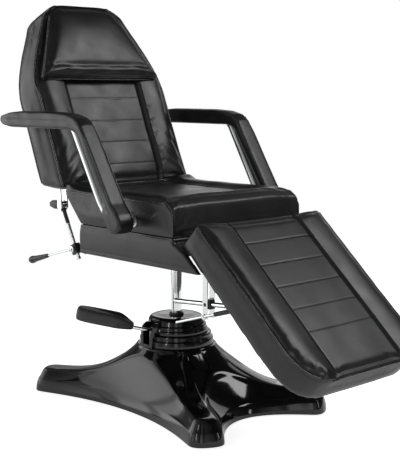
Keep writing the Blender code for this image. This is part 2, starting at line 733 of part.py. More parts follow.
def leg_strut_bracket(plane, under):
    y, z = local_of(leg_strut_end(), LEG_ORIGIN, LEG_SLOPE)
    flange = box_mesh("leg_strut_bracket", (LEG_STRUT_X - 0.017, y - 0.045, under - 0.0045),
                      (LEG_STRUT_X + 0.017, y + 0.045, under - GAP))
    bracket = place("leg_strut_bracket", flange, black_steel(), plane)
    cheek = [(y + 0.035, under - 0.002)] + arc((y, z), 0.012, 10, -190) + [(y - 0.035, under - 0.002)]
    clevis(bracket, LEG_STRUT_X, cheek, (y, z))


# ---- struts and locks ---------------------------------------------------------------------
def strut(name, radius, length, pivot, angle):
    """A rod with an eye at its pivot; it hangs along local -Z, turned by angle about X."""
    eye = rod_mesh(name, (-0.0085, 0, 0), (0.0085, 0, 0), 0.0105)
    thing = place(name, eye, chrome(), pivot, (0, 0, 0), (angle, 0, 0))
    combine(thing, rod_mesh("shank", (0, 0, -0.006), (0, 0, -length), radius), "UNION")
    combine(thing, rod_mesh("eye_bore", (-0.02, 0, 0), (0.02, 0, 0), PIN_RADIUS + PIN_CLEAR))
    return thing


def lock_body(name, radius, pivot, angle, sides, reach):
    """A block on trunnions that a strut slides through; sides says where trunnions stand."""
    x, y, z = (size / 2 for size in LOCK_SIZE)
    block = place(name, box_mesh(name, (-x, -y, -z), (x, y, z)), black_steel(), pivot, (0, 0, 0), (angle, 0, 0))
    rounded(block, 0.0025, 2)
    for side in sides:
        trunnion = rod_mesh("trunnion", (side * (x - 0.002), 0, 0), (side * (x + reach), 0, 0), TRUNNION_RADIUS)
        combine(block, trunnion, "UNION")
    combine(block, rod_mesh("rod_bore", (0, 0, -z * 2), (0, 0, z * 2), radius + 0.0006))
    return block


def back_strut_angle():
    """The back strut's lean from upright, its foot towards the seat."""
    lock = back_lock_point()
    return -math.atan2(BACK_STRUT_TOP[0] - lock[0], BACK_STRUT_TOP[1] - lock[1])


def back_lock_point():
    """The lock's pivot: as far from the back's hinge as the strut's top pin is."""
    y = BACK_STRUT_TOP[0] - BACK_HINGE[0]
    z = BACK_STRUT_TOP[1] - BACK_HINGE[1]
    half = math.asin(BACK_STRUT_SPAN / 2 / math.hypot(y, z))
    return turned_about(BACK_STRUT_TOP, BACK_HINGE, -2 * half)


def back_lock_arm(parent):
    """A flat arm from the seat frame's rear tube down to the back strut's lock."""
    y, z = back_lock_point()
    low = BACK_STRUT_X + LOCK_SIZE[0] / 2 + 0.0008
    outline = [(0.115, FRAME_LOW - GAP), (0.115, 0.526)] + arc((y, z), 0.0125, -95, 85)
    outline += [(0.200, 0.546), (0.135, FRAME_LOW - GAP)]
    arm = place("back_lock_arm", plate_mesh("back_lock_arm", outline, low, low + 0.006), black_steel(), parent)
    combine(arm, rod_mesh("bore", (low - 0.01, y, z), (low + 0.02, y, z), TRUNNION_BORE))


def leg_lock_bracket(parent):
    """A narrow inverted channel under the seat frame that holds the leg strut's lock."""
    y, z = LEG_LOCK
    high = FRAME_LOW - GAP
    half = 0.0120
    mesh = box_mesh("leg_lock_bracket", (LEG_STRUT_X - 0.0165, y - half, high - 0.004),
                    (LEG_STRUT_X + 0.0165, y + half, high))
    bracket = place("leg_lock_bracket", mesh, black_steel(), parent)
    for side in (-1, 1):
        low = LEG_STRUT_X + side * 0.0147 - 0.0018
        near, far = y - half + 0.0005, y + half - 0.0005
        wall = box_mesh("plate", (low, near, 0.342), (low + 0.0036, far, high - 0.001))
        combine(bracket, wall, "UNION")
    combine(bracket, rod_mesh("bore", (LEG_STRUT_X - 0.03, y, z), (LEG_STRUT_X + 0.03, y, z), TRUNNION_BORE))
    lever_pin = rod_mesh("lever_pin", (LEG_STRUT_X - 0.0340, *LEG_LEVER_PIN),
                         (LEG_STRUT_X + 0.0150, *LEG_LEVER_PIN), LEVER_PIN_RADIUS)
    combine(bracket, lever_pin, "UNION")


def back_lever(pivot):
    """The release handle of the back's lock: a chrome rod with a tapered grip."""
    x = -0.0168
    slope = math.radians(-15)
    tip = (0.255 * math.cos(slope), 0.255 * math.sin(slope))
    start = (0.150 * math.cos(slope), 0.150 * math.sin(slope))
    boss = place("back_lever", rod_mesh("back_lever", (-0.0210, 0, 0), (-0.0128, 0, 0), 0.011), chrome(), pivot)
    combine(boss, tube_mesh("lever_rod", [(x, 0.004, -0.001), (x, *tip)], 0.0036), "UNION")
    profile = [(0, 0.118), (0.009, 0.115), (0.0135, 0.106), (0.0135, 0.098), (0.0075, 0.006), (0.0060, 0.0),
               (0.0042, 0.0), (0.0042, 0.107), (0, 0.107)]
    turned("back_lever_grip", profile, matte_plastic(), pivot, (x, *start), (-math.pi / 2 + slope, 0, 0), 20)


def leg_lever(pivot):
    """The release handle of the leg rest's lock, on its own pin under the bracket."""
    boss = rod_mesh("leg_lever", (-0.0105, 0, 0), (-0.0045, 0, 0), 0.0095)
    lever = place("leg_lever", boss, chrome(), pivot)
    x = -0.0075
    slope = LEG_LEVER_SLOPE
    rear = (x, 0.135 * math.cos(slope), 0.135 * math.sin(slope))
    front = (x, -0.137 * math.cos(slope), -0.137 * math.sin(slope))
    combine(lever, tube_mesh("lever_rod", [rear, front], 0.0045), "UNION")
    combine(lever, rod_mesh("lever_bore", (-0.03, 0, 0), (0.01, 0, 0), LEVER_PIN_RADIUS + PIN_CLEAR))
    start = (x, -0.053 * math.cos(slope), -0.053 * math.sin(slope))
    profile = [(0, 0.090), (0.0070, 0.088), (0.0082, 0.080), (0.0070, 0.0), (0.0050, 0.0), (0.0050, 0.086),
               (0, 0.086)]
    turned("leg_lever_grip", profile, rubber(), pivot, start, (math.pi / 2 + slope, 0, 0), 16)


# ---- armrests -----------------------------------------------------------------------------
def arm_pad_outline():
    """Side view of an armrest pad: a level rest, a bend and a slanted leg with a round foot."""
    top = [(0.527, 0.950), (0.500, 0.966), (0.440, 0.978), (0.380, 0.981), (0.170, 0.981), (0.100, 0.977),
           (0.055, 0.966), (0.026, 0.944)]
    front = [(0.010, 0.920), (-0.122, 0.710), (-0.155, 0.677)]
    foot = arc(ARM_FOOT, 0.033, 160, 350, 10)
    rear = [(-0.058, 0.704), (0.070, 0.923), (0.082, 0.930), (0.430, 0.930), (0.490, 0.936), (0.522, 0.944)]
    return top + front + foot + rear


def arm_path(x):
    """Centre line of the chrome tube: from inside the level pad down to the foot."""
    y, z = ARM_FOOT
    return [(x, 0.300, 0.9555), (x, 0.1050, 0.9555, 0.040), (x, -0.0560, 0.6790, 0.050), (x, y, z)]


def armrest(side, name, parent):
    """A chrome tube whose foot peg plugs into the seat, and the pad round it, in world axes."""
    x = side * ARM_X
    y, z = ARM_FOOT
    inner = side * (SEAT_HALF + 0.0052)
    path = arm_path(x)
    tube = place("armrest_tube_" + name, tube_mesh("armrest_tube", path, ARM_TUBE), chrome(), parent)
    combine(tube, rod_mesh("peg_root", (inner, y, z), (x + side * 0.012, y, z), 0.0135), "UNION")
    combine(tube, rod_mesh("peg", (side * 0.215, y, z), (x, y, z), 0.008), "UNION")
    half = ARM_WIDE / 2
    mesh = plate_mesh("armrest_pad", arm_pad_outline(), x - half, x + half)
    pad = place("armrest_pad_" + name, mesh, vinyl(), parent)
    combine(pad, tube_mesh("tube_way", path, ARM_TUBE + GAP * 2))
    combine(pad, rod_mesh("peg_way", (side * 0.27, y, z), (x + side * 0.0126, y, z), 0.0135 + GAP * 2))


def arm_socket(side, name, parent):
    """The socket tube that an armrest's peg slides into, let into the cushion's foam."""
    y, z = ARM_FOOT
    profile = [(0.0085, 0.0046), (0.0200, 0.0046), (0.0200, GAP), (0.0115, GAP), (0.0115, -0.075),
               (0.0085, -0.075)]
    turned("arm_socket_" + name, profile, black_steel(), parent, (side * SEAT_HALF, y, z),
           (0, side * math.pi / 2, 0), 20)


def cut_cushion_for_sockets():
    cushion = bpy.data.objects["seat_cushion"]
    y, z = ARM_FOOT
    for side in (-1, 1):
        combine(cushion, rod_mesh("socket_way", (side * 0.200, y, z), (side * 0.30, y, z), 0.0115 + GAP * 2))


# ---- assembly -----------------------------------------------------------------------------
def build():
    clear_scene()
    new_collection(COLLECTION)
    new_collection(CUTTERS)
    foot_pads()
    base_frame()
    base_cover()
    pump_cylinder()
    tower_parts()
    pedal_port()
    pedal(empty("pedal_pivot", PEDAL_PIVOT))
    lift = empty("lift", (0, 0, PUMP_TOP))
    piston(lift)
    seat = empty("seat", (0, 0, -PUMP_TOP), parent=lift)
    swivel_plate(seat)
    seat_frame(seat)
    seat_board(seat)
    seat_cushion(seat)
    seat_box(seat)
    back_hinge_ears(seat)
    leg_hinge_ears(seat)
    back_lock_arm(seat)
    leg_lock_bracket(seat)
    cut_cushion_for_sockets()
    for side, name in ((1, "left"), (-1, "right")):
        arm_socket(side, name, seat)
        armrest(side, name, empty("armrest_" + name, (0, 0, 0), parent=seat))
    plane = back(empty("back_hinge", (0, *BACK_HINGE), parent=seat))
    head_pillow(plane)
    leg_rest(empty("leg_hinge", (0, *LEG_HINGE), parent=seat))
    lean = back_strut_angle()
    strut_pin = empty("back_strut_pin", (BACK_STRUT_X, *BACK_STRUT_TOP), parent=seat)
    strut("back_strut", BACK_STRUT_RADIUS, BACK_STRUT_LENGTH, strut_pin, lean)
    lock = empty("back_lock_pivot", (BACK_STRUT_X, *back_lock_point()), parent=seat)
    lock_body("back_lock", BACK_STRUT_RADIUS, lock, lean, (1,), 0.0065)
    back_lever(lock)
    along = math.pi / 2 - LEG_STRUT_ANGLE
    strut_pin = empty("leg_strut_pin", (LEG_STRUT_X, *leg_strut_end()), parent=seat)
    strut("leg_strut", LEG_STRUT_RADIUS, LEG_STRUT_LENGTH, strut_pin, along)
    lock = empty("leg_lock_pivot", (LEG_STRUT_X, *LEG_LOCK), parent=seat)
    lock_body("leg_lock", LEG_STRUT_RADIUS, lock, along, (-1, 1), 0.0045)
    leg_lever(empty("leg_lever_pivot", (LEG_STRUT_X - 0.0190, *LEG_LEVER_PIN), parent=seat))


build()
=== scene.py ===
import json
import math

import bmesh
import bpy
import numpy as np
from mathutils import Matrix, Vector


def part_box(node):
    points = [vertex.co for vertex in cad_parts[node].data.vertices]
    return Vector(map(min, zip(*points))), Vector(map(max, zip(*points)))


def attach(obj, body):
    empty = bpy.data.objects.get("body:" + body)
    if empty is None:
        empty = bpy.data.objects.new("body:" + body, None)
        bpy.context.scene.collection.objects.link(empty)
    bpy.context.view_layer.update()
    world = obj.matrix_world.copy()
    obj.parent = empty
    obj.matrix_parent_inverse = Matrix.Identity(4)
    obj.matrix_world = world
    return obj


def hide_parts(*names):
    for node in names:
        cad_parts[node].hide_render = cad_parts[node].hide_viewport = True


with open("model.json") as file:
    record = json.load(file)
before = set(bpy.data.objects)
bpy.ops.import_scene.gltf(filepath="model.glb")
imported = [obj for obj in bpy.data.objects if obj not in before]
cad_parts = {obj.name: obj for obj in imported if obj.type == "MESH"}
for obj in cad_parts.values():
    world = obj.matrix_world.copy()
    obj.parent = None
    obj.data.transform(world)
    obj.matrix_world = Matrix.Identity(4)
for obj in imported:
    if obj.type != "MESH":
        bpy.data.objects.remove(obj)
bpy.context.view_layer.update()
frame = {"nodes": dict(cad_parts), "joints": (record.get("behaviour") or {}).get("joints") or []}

PIVOT = {joint["name"]: Vector(joint["pos_m"]) for joint in frame["joints"] if "pos_m" in joint}

SEAT_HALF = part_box("seat_cushion")[1].x
SEAT_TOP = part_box("seat_cushion")[1].z
SEAT_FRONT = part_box("seat_cushion")[0].y
SEAT_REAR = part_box("seat_side_left")[1].y
SIDES = ((1, "left"), (-1, "right"))
ACROSS = (1, 0, 0)
PANEL = 0.155                   # half the width of the quilted centre panels
PIN_EYE = 0.0054                # the bore of an eye for a hinge's pin
BACK_STRUT_RADIUS = 0.0065
LEG_STRUT_RADIUS = 0.0080
LEVER_DROP = math.radians(15)
ARM_X = 0.345
ARM_HALF = 0.031
ARM_FOOT = (-0.132, 0.653)


class Plane:
    """A cushion's face: directions across it, along it and out of it."""

    def __init__(self, origin, along, out):
        self.origin = np.array(origin, float)
        self.across = np.array((1.0, 0.0, 0.0))
        self.along = np.array(along, float)
        self.out = np.array(out, float)

    def local(self, points):
        offset = points - self.origin
        return offset @ self.across, offset @ self.along, offset @ self.out

    def world(self, x, s, n=0.0):
        return Vector(self.origin + self.across * x + self.along * s + self.out * n)


def tilted(degrees):
    return math.sin(math.radians(degrees)), math.cos(math.radians(degrees))


SIN, COS = tilted(22.6)
BACK = Plane((0, 0.250, 0.722), (0, SIN, COS), (0, -COS, SIN))
SIN, COS = tilted(41.5)
LEG = Plane((0, -0.390, 0.668), (0, -COS, -SIN), (0, -SIN, COS))
SEAT = Plane((0, 0, SEAT_TOP), (0, -1, 0), (0, 0, 1))


# ---- materials ----------------------------------------------------------------------------
def map_range(tree, value, source, target):
    """Carry a value from one (low, high) range over to another."""
    change = tree.nodes.new("ShaderNodeMapRange")
    for name, limits in (("From", source), ("To", target)):
        change.inputs[name + " Min"].default_value = limits[0]
        change.inputs[name + " Max"].default_value = limits[1]
    tree.links.new(value, change.inputs["Value"])
    return change.outputs["Result"]


def ramp_node(tree, value, stops):
    """A colour ramp from (position, colour) stops."""
    ramp = tree.nodes.new("ShaderNodeValToRGB")
    elements = ramp.color_ramp.elements
    elements[0].position, elements[1].position = stops[0][0], stops[-1][0]
    elements[0].color = (*stops[0][1], 1.0)
    elements[1].color = (*stops[-1][1], 1.0)
    for position, colour in stops[1:-1]:
        elements.new(position).color = (*colour, 1.0)
    tree.links.new(value, ramp.inputs["Fac"])
    return ramp.outputs["Color"]


NOISE_MIDDLE = (0.3, 0.7)       # where most of a noise's values lie


class Paint:
    """A procedural material on object coordinates; it keeps the name of a CAD material slot, which nothing
    here assigns.
    """

    def __init__(self, name, slot, colour, roughness, metallic=0.0):
        self.slot = slot
        self.material = bpy.data.materials.new(name)
        self.material.use_nodes = True
        self.tree = self.material.node_tree
        self.surface = self.tree.nodes["Principled BSDF"]
        self.set("Base Color", (*colour, 1.0))
        self.set("Roughness", roughness)
        self.set("Metallic", metallic)

    def set(self, name, value):
        self.surface.inputs[name].default_value = value

    def feed(self, name, value):
        self.tree.links.new(value, self.surface.inputs[name])

    def texture(self, kind, scale):
        """A texture node; kind is Noise, Voronoi or Wave."""
        node = self.tree.nodes.new("ShaderNodeTex" + kind)
        node.inputs["Scale"].default_value = scale
        where = self.tree.nodes.new("ShaderNodeTexCoord")
        self.tree.links.new(where.outputs["Object"], node.inputs["Vector"])
        return node

    def noise(self, scale, detail=3.0):
        grain = self.texture("Noise", scale)
        grain.inputs["Detail"].default_value = detail
        return grain.outputs["Fac"]

    def rough(self, low, high, scale, detail=3.0):
        """Vary the roughness between low and high with a noise."""
        grain = self.noise(scale, detail)
        self.feed("Roughness", map_range(self.tree, grain, NOISE_MIDDLE, (low, high)))

    def tint(self, dark, light, scale):
        """Vary the base colour between two colours with a noise."""
        stops = list(zip(NOISE_MIDDLE, (dark, light)))
        self.feed("Base Color", ramp_node(self.tree, self.noise(scale), stops))

    def bumps(self, *layers):
        """Stack (height, distance, strength) layers of bump."""
        normal = None
        for height, distance, strength in layers:
            bump = self.tree.nodes.new("ShaderNodeBump")
            bump.inputs["Distance"].default_value = distance
            bump.inputs["Strength"].default_value = strength
            self.tree.links.new(height, bump.inputs["Height"])
            if normal:
                self.tree.links.new(normal, bump.inputs["Normal"])
            normal = bump.outputs["Normal"]
        self.feed("Normal", normal)


def make_vinyl():
    """Black upholstery vinyl: a fine pebble grain over soft unevenness of the foam."""
    paint = Paint("vinyl", "black_vinyl", (0.008, 0.008, 0.008), 0.4)
    paint.tint((0.0055, 0.0055, 0.0057), (0.0105, 0.0105, 0.0108), 9.0)
    paint.rough(0.33, 0.46, 14.0, 5.0)
    pebble = paint.texture("Voronoi", 700.0)
    paint.bumps((paint.noise(11.0, 4.0), 0.004, 0.22), (pebble.outputs["Distance"], 0.0002, 0.25))
    paint.set("Coat Weight", 0.12)
    paint.set("Coat Roughness", 0.28)
    return paint


def make_piping():
    """The narrow welts: the same vinyl, stretched smooth and shinier."""
    paint = Paint("piping", "black_vinyl", (0.012, 0.012, 0.012), 0.25)
    paint.rough(0.20, 0.32, 60.0)
    paint.bumps((paint.noise(120.0), 0.0006, 0.3))
    paint.set("Coat Weight", 0.5)
    return paint


def make_chrome():
    paint = Paint("chrome", "chrome", (0.86, 0.87, 0.88), 0.06, 1.0)
    paint.rough(0.04, 0.11, 35.0)
    paint.bumps((paint.noise(300.0), 0.0001, 0.06))
    return paint


def make_gloss():
    """Gloss black moulded plastic with the faint ripple of a thin moulding."""
    paint = Paint("gloss_plastic", "gloss_black_plastic", (0.004, 0.004, 0.004), 0.07)
    paint.rough(0.05, 0.10, 18.0)
    paint.bumps((paint.noise(7.0, 1.0), 0.004, 0.10))
    paint.set("Specular IOR Level", 0.62)
    return paint


def make_steel():
    """Black powder-coated steel."""
    paint = Paint("painted_steel", "black_painted_steel", (0.014, 0.014, 0.014), 0.45)
    paint.tint((0.010, 0.010, 0.010), (0.020, 0.020, 0.020), 40.0)
    paint.rough(0.36, 0.52, 90.0)
    paint.bumps((paint.noise(900.0), 0.0002, 0.25))
    return paint


def make_rubber():
    paint = Paint("rubber", "black_rubber", (0.02, 0.02, 0.02), 0.6)
    paint.tint((0.026, 0.026, 0.026), (0.044, 0.044, 0.045), 50.0)
    paint.rough(0.48, 0.66, 120.0)
    paint.bumps((paint.noise(700.0), 0.0003, 0.3))
    return paint


def make_grip():
    """Satin black plastic of the lever grips and the strut's sleeve."""
    paint = Paint("grip_plastic", "matte_black_plastic", (0.012, 0.012, 0.012), 0.35)
    paint.rough(0.28, 0.42, 80.0)
    paint.bumps((paint.noise(500.0), 0.0002, 0.2))
    return paint


def make_lining():
    """Black woven dust cloth on the rear of the back."""
    paint = Paint("dust_cloth", "black_vinyl", (0.012, 0.012, 0.012), 0.9)
    paint.tint((0.009, 0.009, 0.009), (0.022, 0.022, 0.022), 300.0)
    paint.bumps((paint.texture("Wave", 260.0).outputs["Fac"], 0.0003, 0.4))
    paint.set("Sheen Weight", 0.15)
    return paint


VINYL = make_vinyl()
PIPING = make_piping()
CHROME = make_chrome()
GLOSS = make_gloss()
STEEL = make_steel()
RUBBER = make_rubber()
GRIP = make_grip()
LINING = make_lining()


# ---- mesh helpers -------------------------------------------------------------------------
def linked(name, data):
    thing = bpy.data.objects.new(name, data)
    bpy.context.scene.collection.objects.link(thing)
    return thing


def build(name, work):
    """An object from a bmesh, its faces turned outwards."""
    mesh = bpy.data.meshes.new(name)
    bmesh.ops.recalc_face_normals(work, faces=work.faces[:])
    work.to_mesh(mesh)
    work.free()
    return linked(name, mesh)


def show(thing, paint, body, *nodes):
    """Paint a piece, let it ride on its body and, if nodes are named, stand for them."""
    thing.data.materials.clear()
    thing.data.materials.append(paint.material)
    thing.data.shade_smooth()
    thing.data.set_sharp_from_angle(angle=math.radians(42))
    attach(thing, body)
    if nodes:
        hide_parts(*nodes)
    return thing


def settle(thing):
    """Turn an object's modifiers into its mesh."""
    old = thing.data
    shape = thing.evaluated_get(bpy.context.evaluated_depsgraph_get())
    thing.data = bpy.data.meshes.new_from_object(shape)
    thing.modifiers.clear()
    bpy.data.meshes.remove(old)
    return thing


def read(items, field="co"):
    values = np.empty(len(items) * 3, np.float32)
    items.foreach_get(field, values)
    return values.reshape(-1, 3).astype(float)


def write(mesh, points):
    mesh.vertices.foreach_set("co", points.astype(np.float32).ravel())
    mesh.update()


def skin_of(thing):
    """A piece's points and their normals."""
    return read(thing.data.vertices), read(thing.data.vertex_normals, "vector")


def relax(mesh, rounds, share=0.5):
    """Round a dense mesh off by moving each vertex towards its neighbours' mean."""
    count = len(mesh.vertices)
    ends = np.empty(len(mesh.edges) * 2, np.int32)
    mesh.edges.foreach_get("vertices", ends)
    first, second = ends[0::2], ends[1::2]
    neighbours = np.bincount(first, minlength=count) + np.bincount(second, minlength=count)
    points = read(mesh.vertices)
    for _ in range(rounds):
        mean = np.empty_like(points)
        for axis in range(3):
            total = np.bincount(first, points[second, axis], count)
            total += np.bincount(second, points[first, axis], count)
            mean[:, axis] = total / neighbours
        points += (mean - points) * share
    write(mesh, points)


def even_skin(thing, voxel, rounds):
    """Give a piece an even mesh with rounded edges."""
    even = thing.modifiers.new("even", "REMESH")
    even.mode = "VOXEL"
    even.voxel_size = voxel
    settle(thing)
    relax(thing.data, rounds)
    return thing


def step(value, low, high):
    """0 below low, 1 above high, smooth between."""
    share = np.clip((value - low) / (high - low), 0.0, 1.0)
    return share * share * (3 - 2 * share)


def ridge(value, width):
    """1 on a line, falling to 0 about twice the width away."""
    return np.exp(-(value / width) ** 2)


def ripple(points, pitch, seed):
    """Smooth unevenness of about this pitch, mostly between -0.5 and 0.5."""
    draw = np.random.default_rng(seed)
    total = np.zeros(len(points))
    waves = 7
    for _ in range(waves):
        heading = draw.normal(size=3)
        heading /= np.linalg.norm(heading)
        scale = 2 * math.pi / pitch * draw.uniform(0.7, 1.6)
        total += np.sin(points @ heading * scale + draw.uniform(0, 2 * math.pi))
    return total / waves


def bowed(points, corner=0.02, steps=6):
    """Replace each inner corner of a path by a quadratic bend that starts this far from it."""
    run = [Vector(points[0])]
    for before, middle, after in zip(points, points[1:], points[2:]):
        middle = Vector(middle)
        start = middle + (Vector(before) - middle).normalized() * corner
        end = middle + (Vector(after) - middle).normalized() * corner
        for number in range(steps + 1):
            t = number / steps
            run.append(start * (1 - t) ** 2 + middle * 2 * t * (1 - t) + end * t ** 2)
    run.append(Vector(points[-1]))
    return run


def join_rings(work, rings, capped=True):
    """Faces between successive rings of vertices, and over both ends."""
    for low, high in zip(rings, rings[1:]):
        for i in range(len(low)):
            j = (i + 1) % len(low)
            work.faces.new((low[i], low[j], high[j], high[i]))
    if capped:
        work.faces.new(rings[0])
        work.faces.new(rings[-1])


def sweep(name, points, radius, sides=20):
    """A round bar with domed ends along points; radius is a number or one for each point."""
    points = np.array([tuple(p) for p in points], float)
    radii = np.broadcast_to(np.array(radius, float), len(points)).copy()
    ahead = np.gradient(points, axis=0)
    ahead /= np.linalg.norm(ahead, axis=1)[:, None]
    first = points[0] - ahead[0] * radii[0] * 0.35
    last = points[-1] + ahead[-1] * radii[-1] * 0.35
    points = np.vstack([first, points, last])
    radii = np.concatenate([[radii[0] * 0.6], radii, [radii[-1] * 0.6]])
    ahead = np.vstack([ahead[:1], ahead, ahead[-1:]])
    side = np.cross(ahead[0], (0.0, 0.0, 1.0) if abs(ahead[0][2]) < 0.9 else (1.0, 0.0, 0.0))
    work = bmesh.new()
    rings = []
    for point, heading, size in zip(points, ahead, radii):
        side = side - heading * (side @ heading)
        side /= np.linalg.norm(side)
        up = np.cross(heading, side)
        ring = []
        for number in range(sides):
            angle = 2 * math.pi * number / sides
            ring.append(work.verts.new(point + size * (math.cos(angle) * side + math.sin(angle) * up)))
        rings.append(ring)
    join_rings(work, rings)
    return build(name, work)


def softened(profile, size, steps=3):
    """Cut the corners of a closed profile with small quadratic bends."""
    run = []
    count = len(profile)
    for number in range(count):
        middle = Vector(profile[number])
        before = Vector(profile[number - 1])
        after = Vector(profile[(number + 1) % count])
        if middle.x < 1e-6:
            run.append(tuple(middle))
            continue
        start = middle + (before - middle) * min(0.4, size / max((before - middle).length, 1e-9))
        end = middle + (after - middle) * min(0.4, size / max((after - middle).length, 1e-9))
        for index in range(steps + 1):
            t = index / steps
            run.append(tuple(start * (1 - t) ** 2 + middle * 2 * t * (1 - t) + end * t ** 2))
    return run


def lathe(name, profile, corner=0.001, steps=72, at=(0, 0, 0), axis=(0, 0, 1)):
    """A closed profile of (radius, height) turned about an axis through at."""
    profile = softened(profile, corner)
    turn = Vector(axis).to_track_quat("Z", "Y").to_matrix().to_4x4()
    move = Matrix.Translation(at) @ turn
    work = bmesh.new()
    rings = []
    for number in range(steps):
        angle = 2 * math.pi * number / steps
        rings.append([work.verts.new(move @ Vector((r * math.cos(angle), r * math.sin(angle), z)))
                      for r, z in profile])
    for number in range(steps):
        here, there = rings[number], rings[(number + 1) % steps]
        for k in range(len(profile)):
            m = (k + 1) % len(profile)
            if profile[k][0] < 1e-6 and profile[m][0] < 1e-6:
                continue
            work.faces.new((here[k], there[k], there[m], here[m]))
    bmesh.ops.remove_doubles(work, verts=work.verts[:], dist=1e-6)
    bmesh.ops.dissolve_degenerate(work, edges=work.edges[:], dist=1e-7)
    return build(name, work)


def boss(inner, outer, half, corner, at, axis=ACROSS):
    """A short turned ring or disc centred on a pivot."""
    profile = [(inner, -half), (outer, -half), (outer, half), (inner, half)]
    return lathe("boss", profile, corner, 40, at, axis)


def bevelled(work, size, segments=3, angle=30):
    sharp = math.radians(angle)
    edges = [e for e in work.edges if len(e.link_faces) == 2 and e.calc_face_angle() > sharp]
    bmesh.ops.bevel(work, geom=edges, offset=size, segments=segments, profile=0.6, affect="EDGES",
                    clamp_overlap=True)


def slab(corners, shift, bevel, segments):
    """A face through corners made thick by a shift, its edges rounded."""
    work = bmesh.new()
    face = work.faces.new([work.verts.new(corner) for corner in corners])
    moved = bmesh.ops.extrude_face_region(work, geom=[face])["geom"]
    far = [v for v in moved if isinstance(v, bmesh.types.BMVert)]
    bmesh.ops.translate(work, vec=shift, verts=far)
    bmesh.ops.recalc_face_normals(work, faces=work.faces[:])
    bevelled(work, bevel, segments)
    return work


def prism(name, outline, low, high, bevel=0.002, segments=3, turn=Matrix.Identity(4)):
    """An outline of (y, z) points given thickness along X, its edges rounded."""
    work = slab([(low, y, z) for y, z in outline], (high - low, 0, 0), bevel, segments)
    work.transform(turn)
    return build(name, work)


def merge(first, *others):
    """Join pieces' meshes into the first."""
    work = bmesh.new()
    for thing in (first, *others):
        work.from_mesh(thing.data)
    work.to_mesh(first.data)
    work.free()
    for thing in others:
        bpy.data.objects.remove(thing, do_unlink=True)
    return first


def arc(centre, radius, start, end, steps=8):
    return [(centre[0] + radius * math.cos(math.radians(start + (end - start) * i / steps)),
             centre[1] + radius * math.sin(math.radians(start + (end - start) * i / steps)))
            for i in range(steps + 1)]


# ---- soft goods ---------------------------------------------------------------------------
def foam(name, nodes, voxel, rounds):
    """An even, rounded skin round some CAD nodes."""
    work = bmesh.new()
    for node in nodes:
        work.from_mesh(frame["nodes"][node].data)
    mesh = bpy.data.meshes.new(name)
    work.to_mesh(mesh)
    work.free()
    return even_skin(linked(name, mesh), voxel, rounds)


def puff(thing, plane, pinned_below, cap):
    """Blow the cover up with a little air; its rear stays pinned, and no point moves past cap."""
    rest, normals = skin_of(thing)
    depth = plane.local(rest)[2]
    group = thing.vertex_groups.new(name="pinned")
    group.add([int(i) for i in np.nonzero(depth < pinned_below)[0]], 1.0, "REPLACE")
    cloth = thing.modifiers.new("air", "CLOTH")
    cloth.settings.quality = 4
    cloth.settings.use_pressure = True
    cloth.settings.uniform_pressure_force = 4.0
    cloth.settings.vertex_group_mass = "pinned"
    cloth.settings.effector_weights.gravity = 0.0
    cloth.point_cache.frame_start = 1
    cloth.point_cache.frame_end = 16
    for number in range(1, 17):
        bpy.context.scene.frame_set(number)
    settle(thing)
    bpy.context.scene.frame_set(1)
    moved = read(thing.data.vertices) - rest
    sunk = np.minimum((moved * normals).sum(axis=1), 0.0)[:, None]
    moved -= normals * sunk * 0.75
    length = np.linalg.norm(moved, axis=1)[:, None] + 1e-9
    write(thing.data, rest + moved / length * cap * np.tanh(length / cap))
    thing.vertex_groups.clear()
    finer = thing.modifiers.new("finer", "SUBSURF")
    finer.levels = 1
    finer.render_levels = 1
    return settle(thing)


def sculpt(thing, plane, offset):
    """Move the skin in and out of its plane; offset takes across, along, facing, points."""
    points, normals = skin_of(thing)
    x, s, _ = plane.local(points)
    write(thing.data, points + np.outer(offset(x, s, normals @ plane.out, points), plane.out))


def quilt(x, s, lines, depth=0.0009, width=0.0024):
    """Stitched lines across the centre panel with a low pillow between each pair."""
    inside = 1 - step(np.abs(x), PANEL - 0.006, PANEL + 0.004)
    total = np.zeros(len(x))
    for line in lines:
        total -= depth * ridge(s - line, width)
    for low, high in zip(lines, lines[1:]):
        between = np.clip((s - low) / (high - low), 0, 1)
        total += 0.0003 * np.sin(math.pi * between)
    return total * inside


def crease(x, s, start, end, width=0.006, depth=0.0022):
    """A fold from start to end, deepest in its middle, with a soft ridge on each side."""
    run = (end[0] - start[0], end[1] - start[1])
    share = ((x - start[0]) * run[0] + (s - start[1]) * run[1]) / (run[0] ** 2 + run[1] ** 2)
    share = np.clip(share, 0, 1)
    away = np.hypot(x - start[0] - share * run[0], s - start[1] - share * run[1])
    swell = np.sin(math.pi * (0.12 + 0.76 * share))
    return depth * swell * (0.55 * ridge(away - 2.0 * width, width) - ridge(away, width))


def channel(x, place, drop, lean=0.022):
    """The step from a side bolster down to the centre panel, with a sewn groove at its foot."""
    inward = np.abs(x)
    fall = drop * (1 - step(inward, place - lean * 0.15, place + lean * 0.85))
    return -fall - 0.0045 * ridge(inward - place, 0.0032)


def laid(path, host, lift):
    """A path pulled on to a cushion's surface and smoothed."""
    run = []
    for point in path:
        _, spot, normal, _ = host.closest_point_on_mesh(Vector(point))
        run.append(np.array(spot + normal * lift))
    run = np.array(run)
    for _ in range(4):
        run[1:-1] = run[1:-1] * 0.5 + (run[:-2] + run[2:]) * 0.25
    return run


def welt(name, path, host, body, radius=0.0032, lift=0.35):
    """A piped seam laid on a cushion along a path near its surface."""
    return show(sweep(name, laid(path, host, radius * lift), radius, 10), PIPING, body)


def stitches(name, plane, lines, half, host, body):
    """The thread sunk in each quilted line of a centre panel."""
    rows = []
    for line in lines:
        path = [plane.world(x, line, 0.004) for x in between(-half, half, 50)]
        rows.append(sweep(name, laid(path, host, -0.0001), 0.0006, 8))
    return show(merge(*rows), VINYL, body)


def between(low, high, count):
    return [low + (high - low) * i / (count - 1) for i in range(count)]


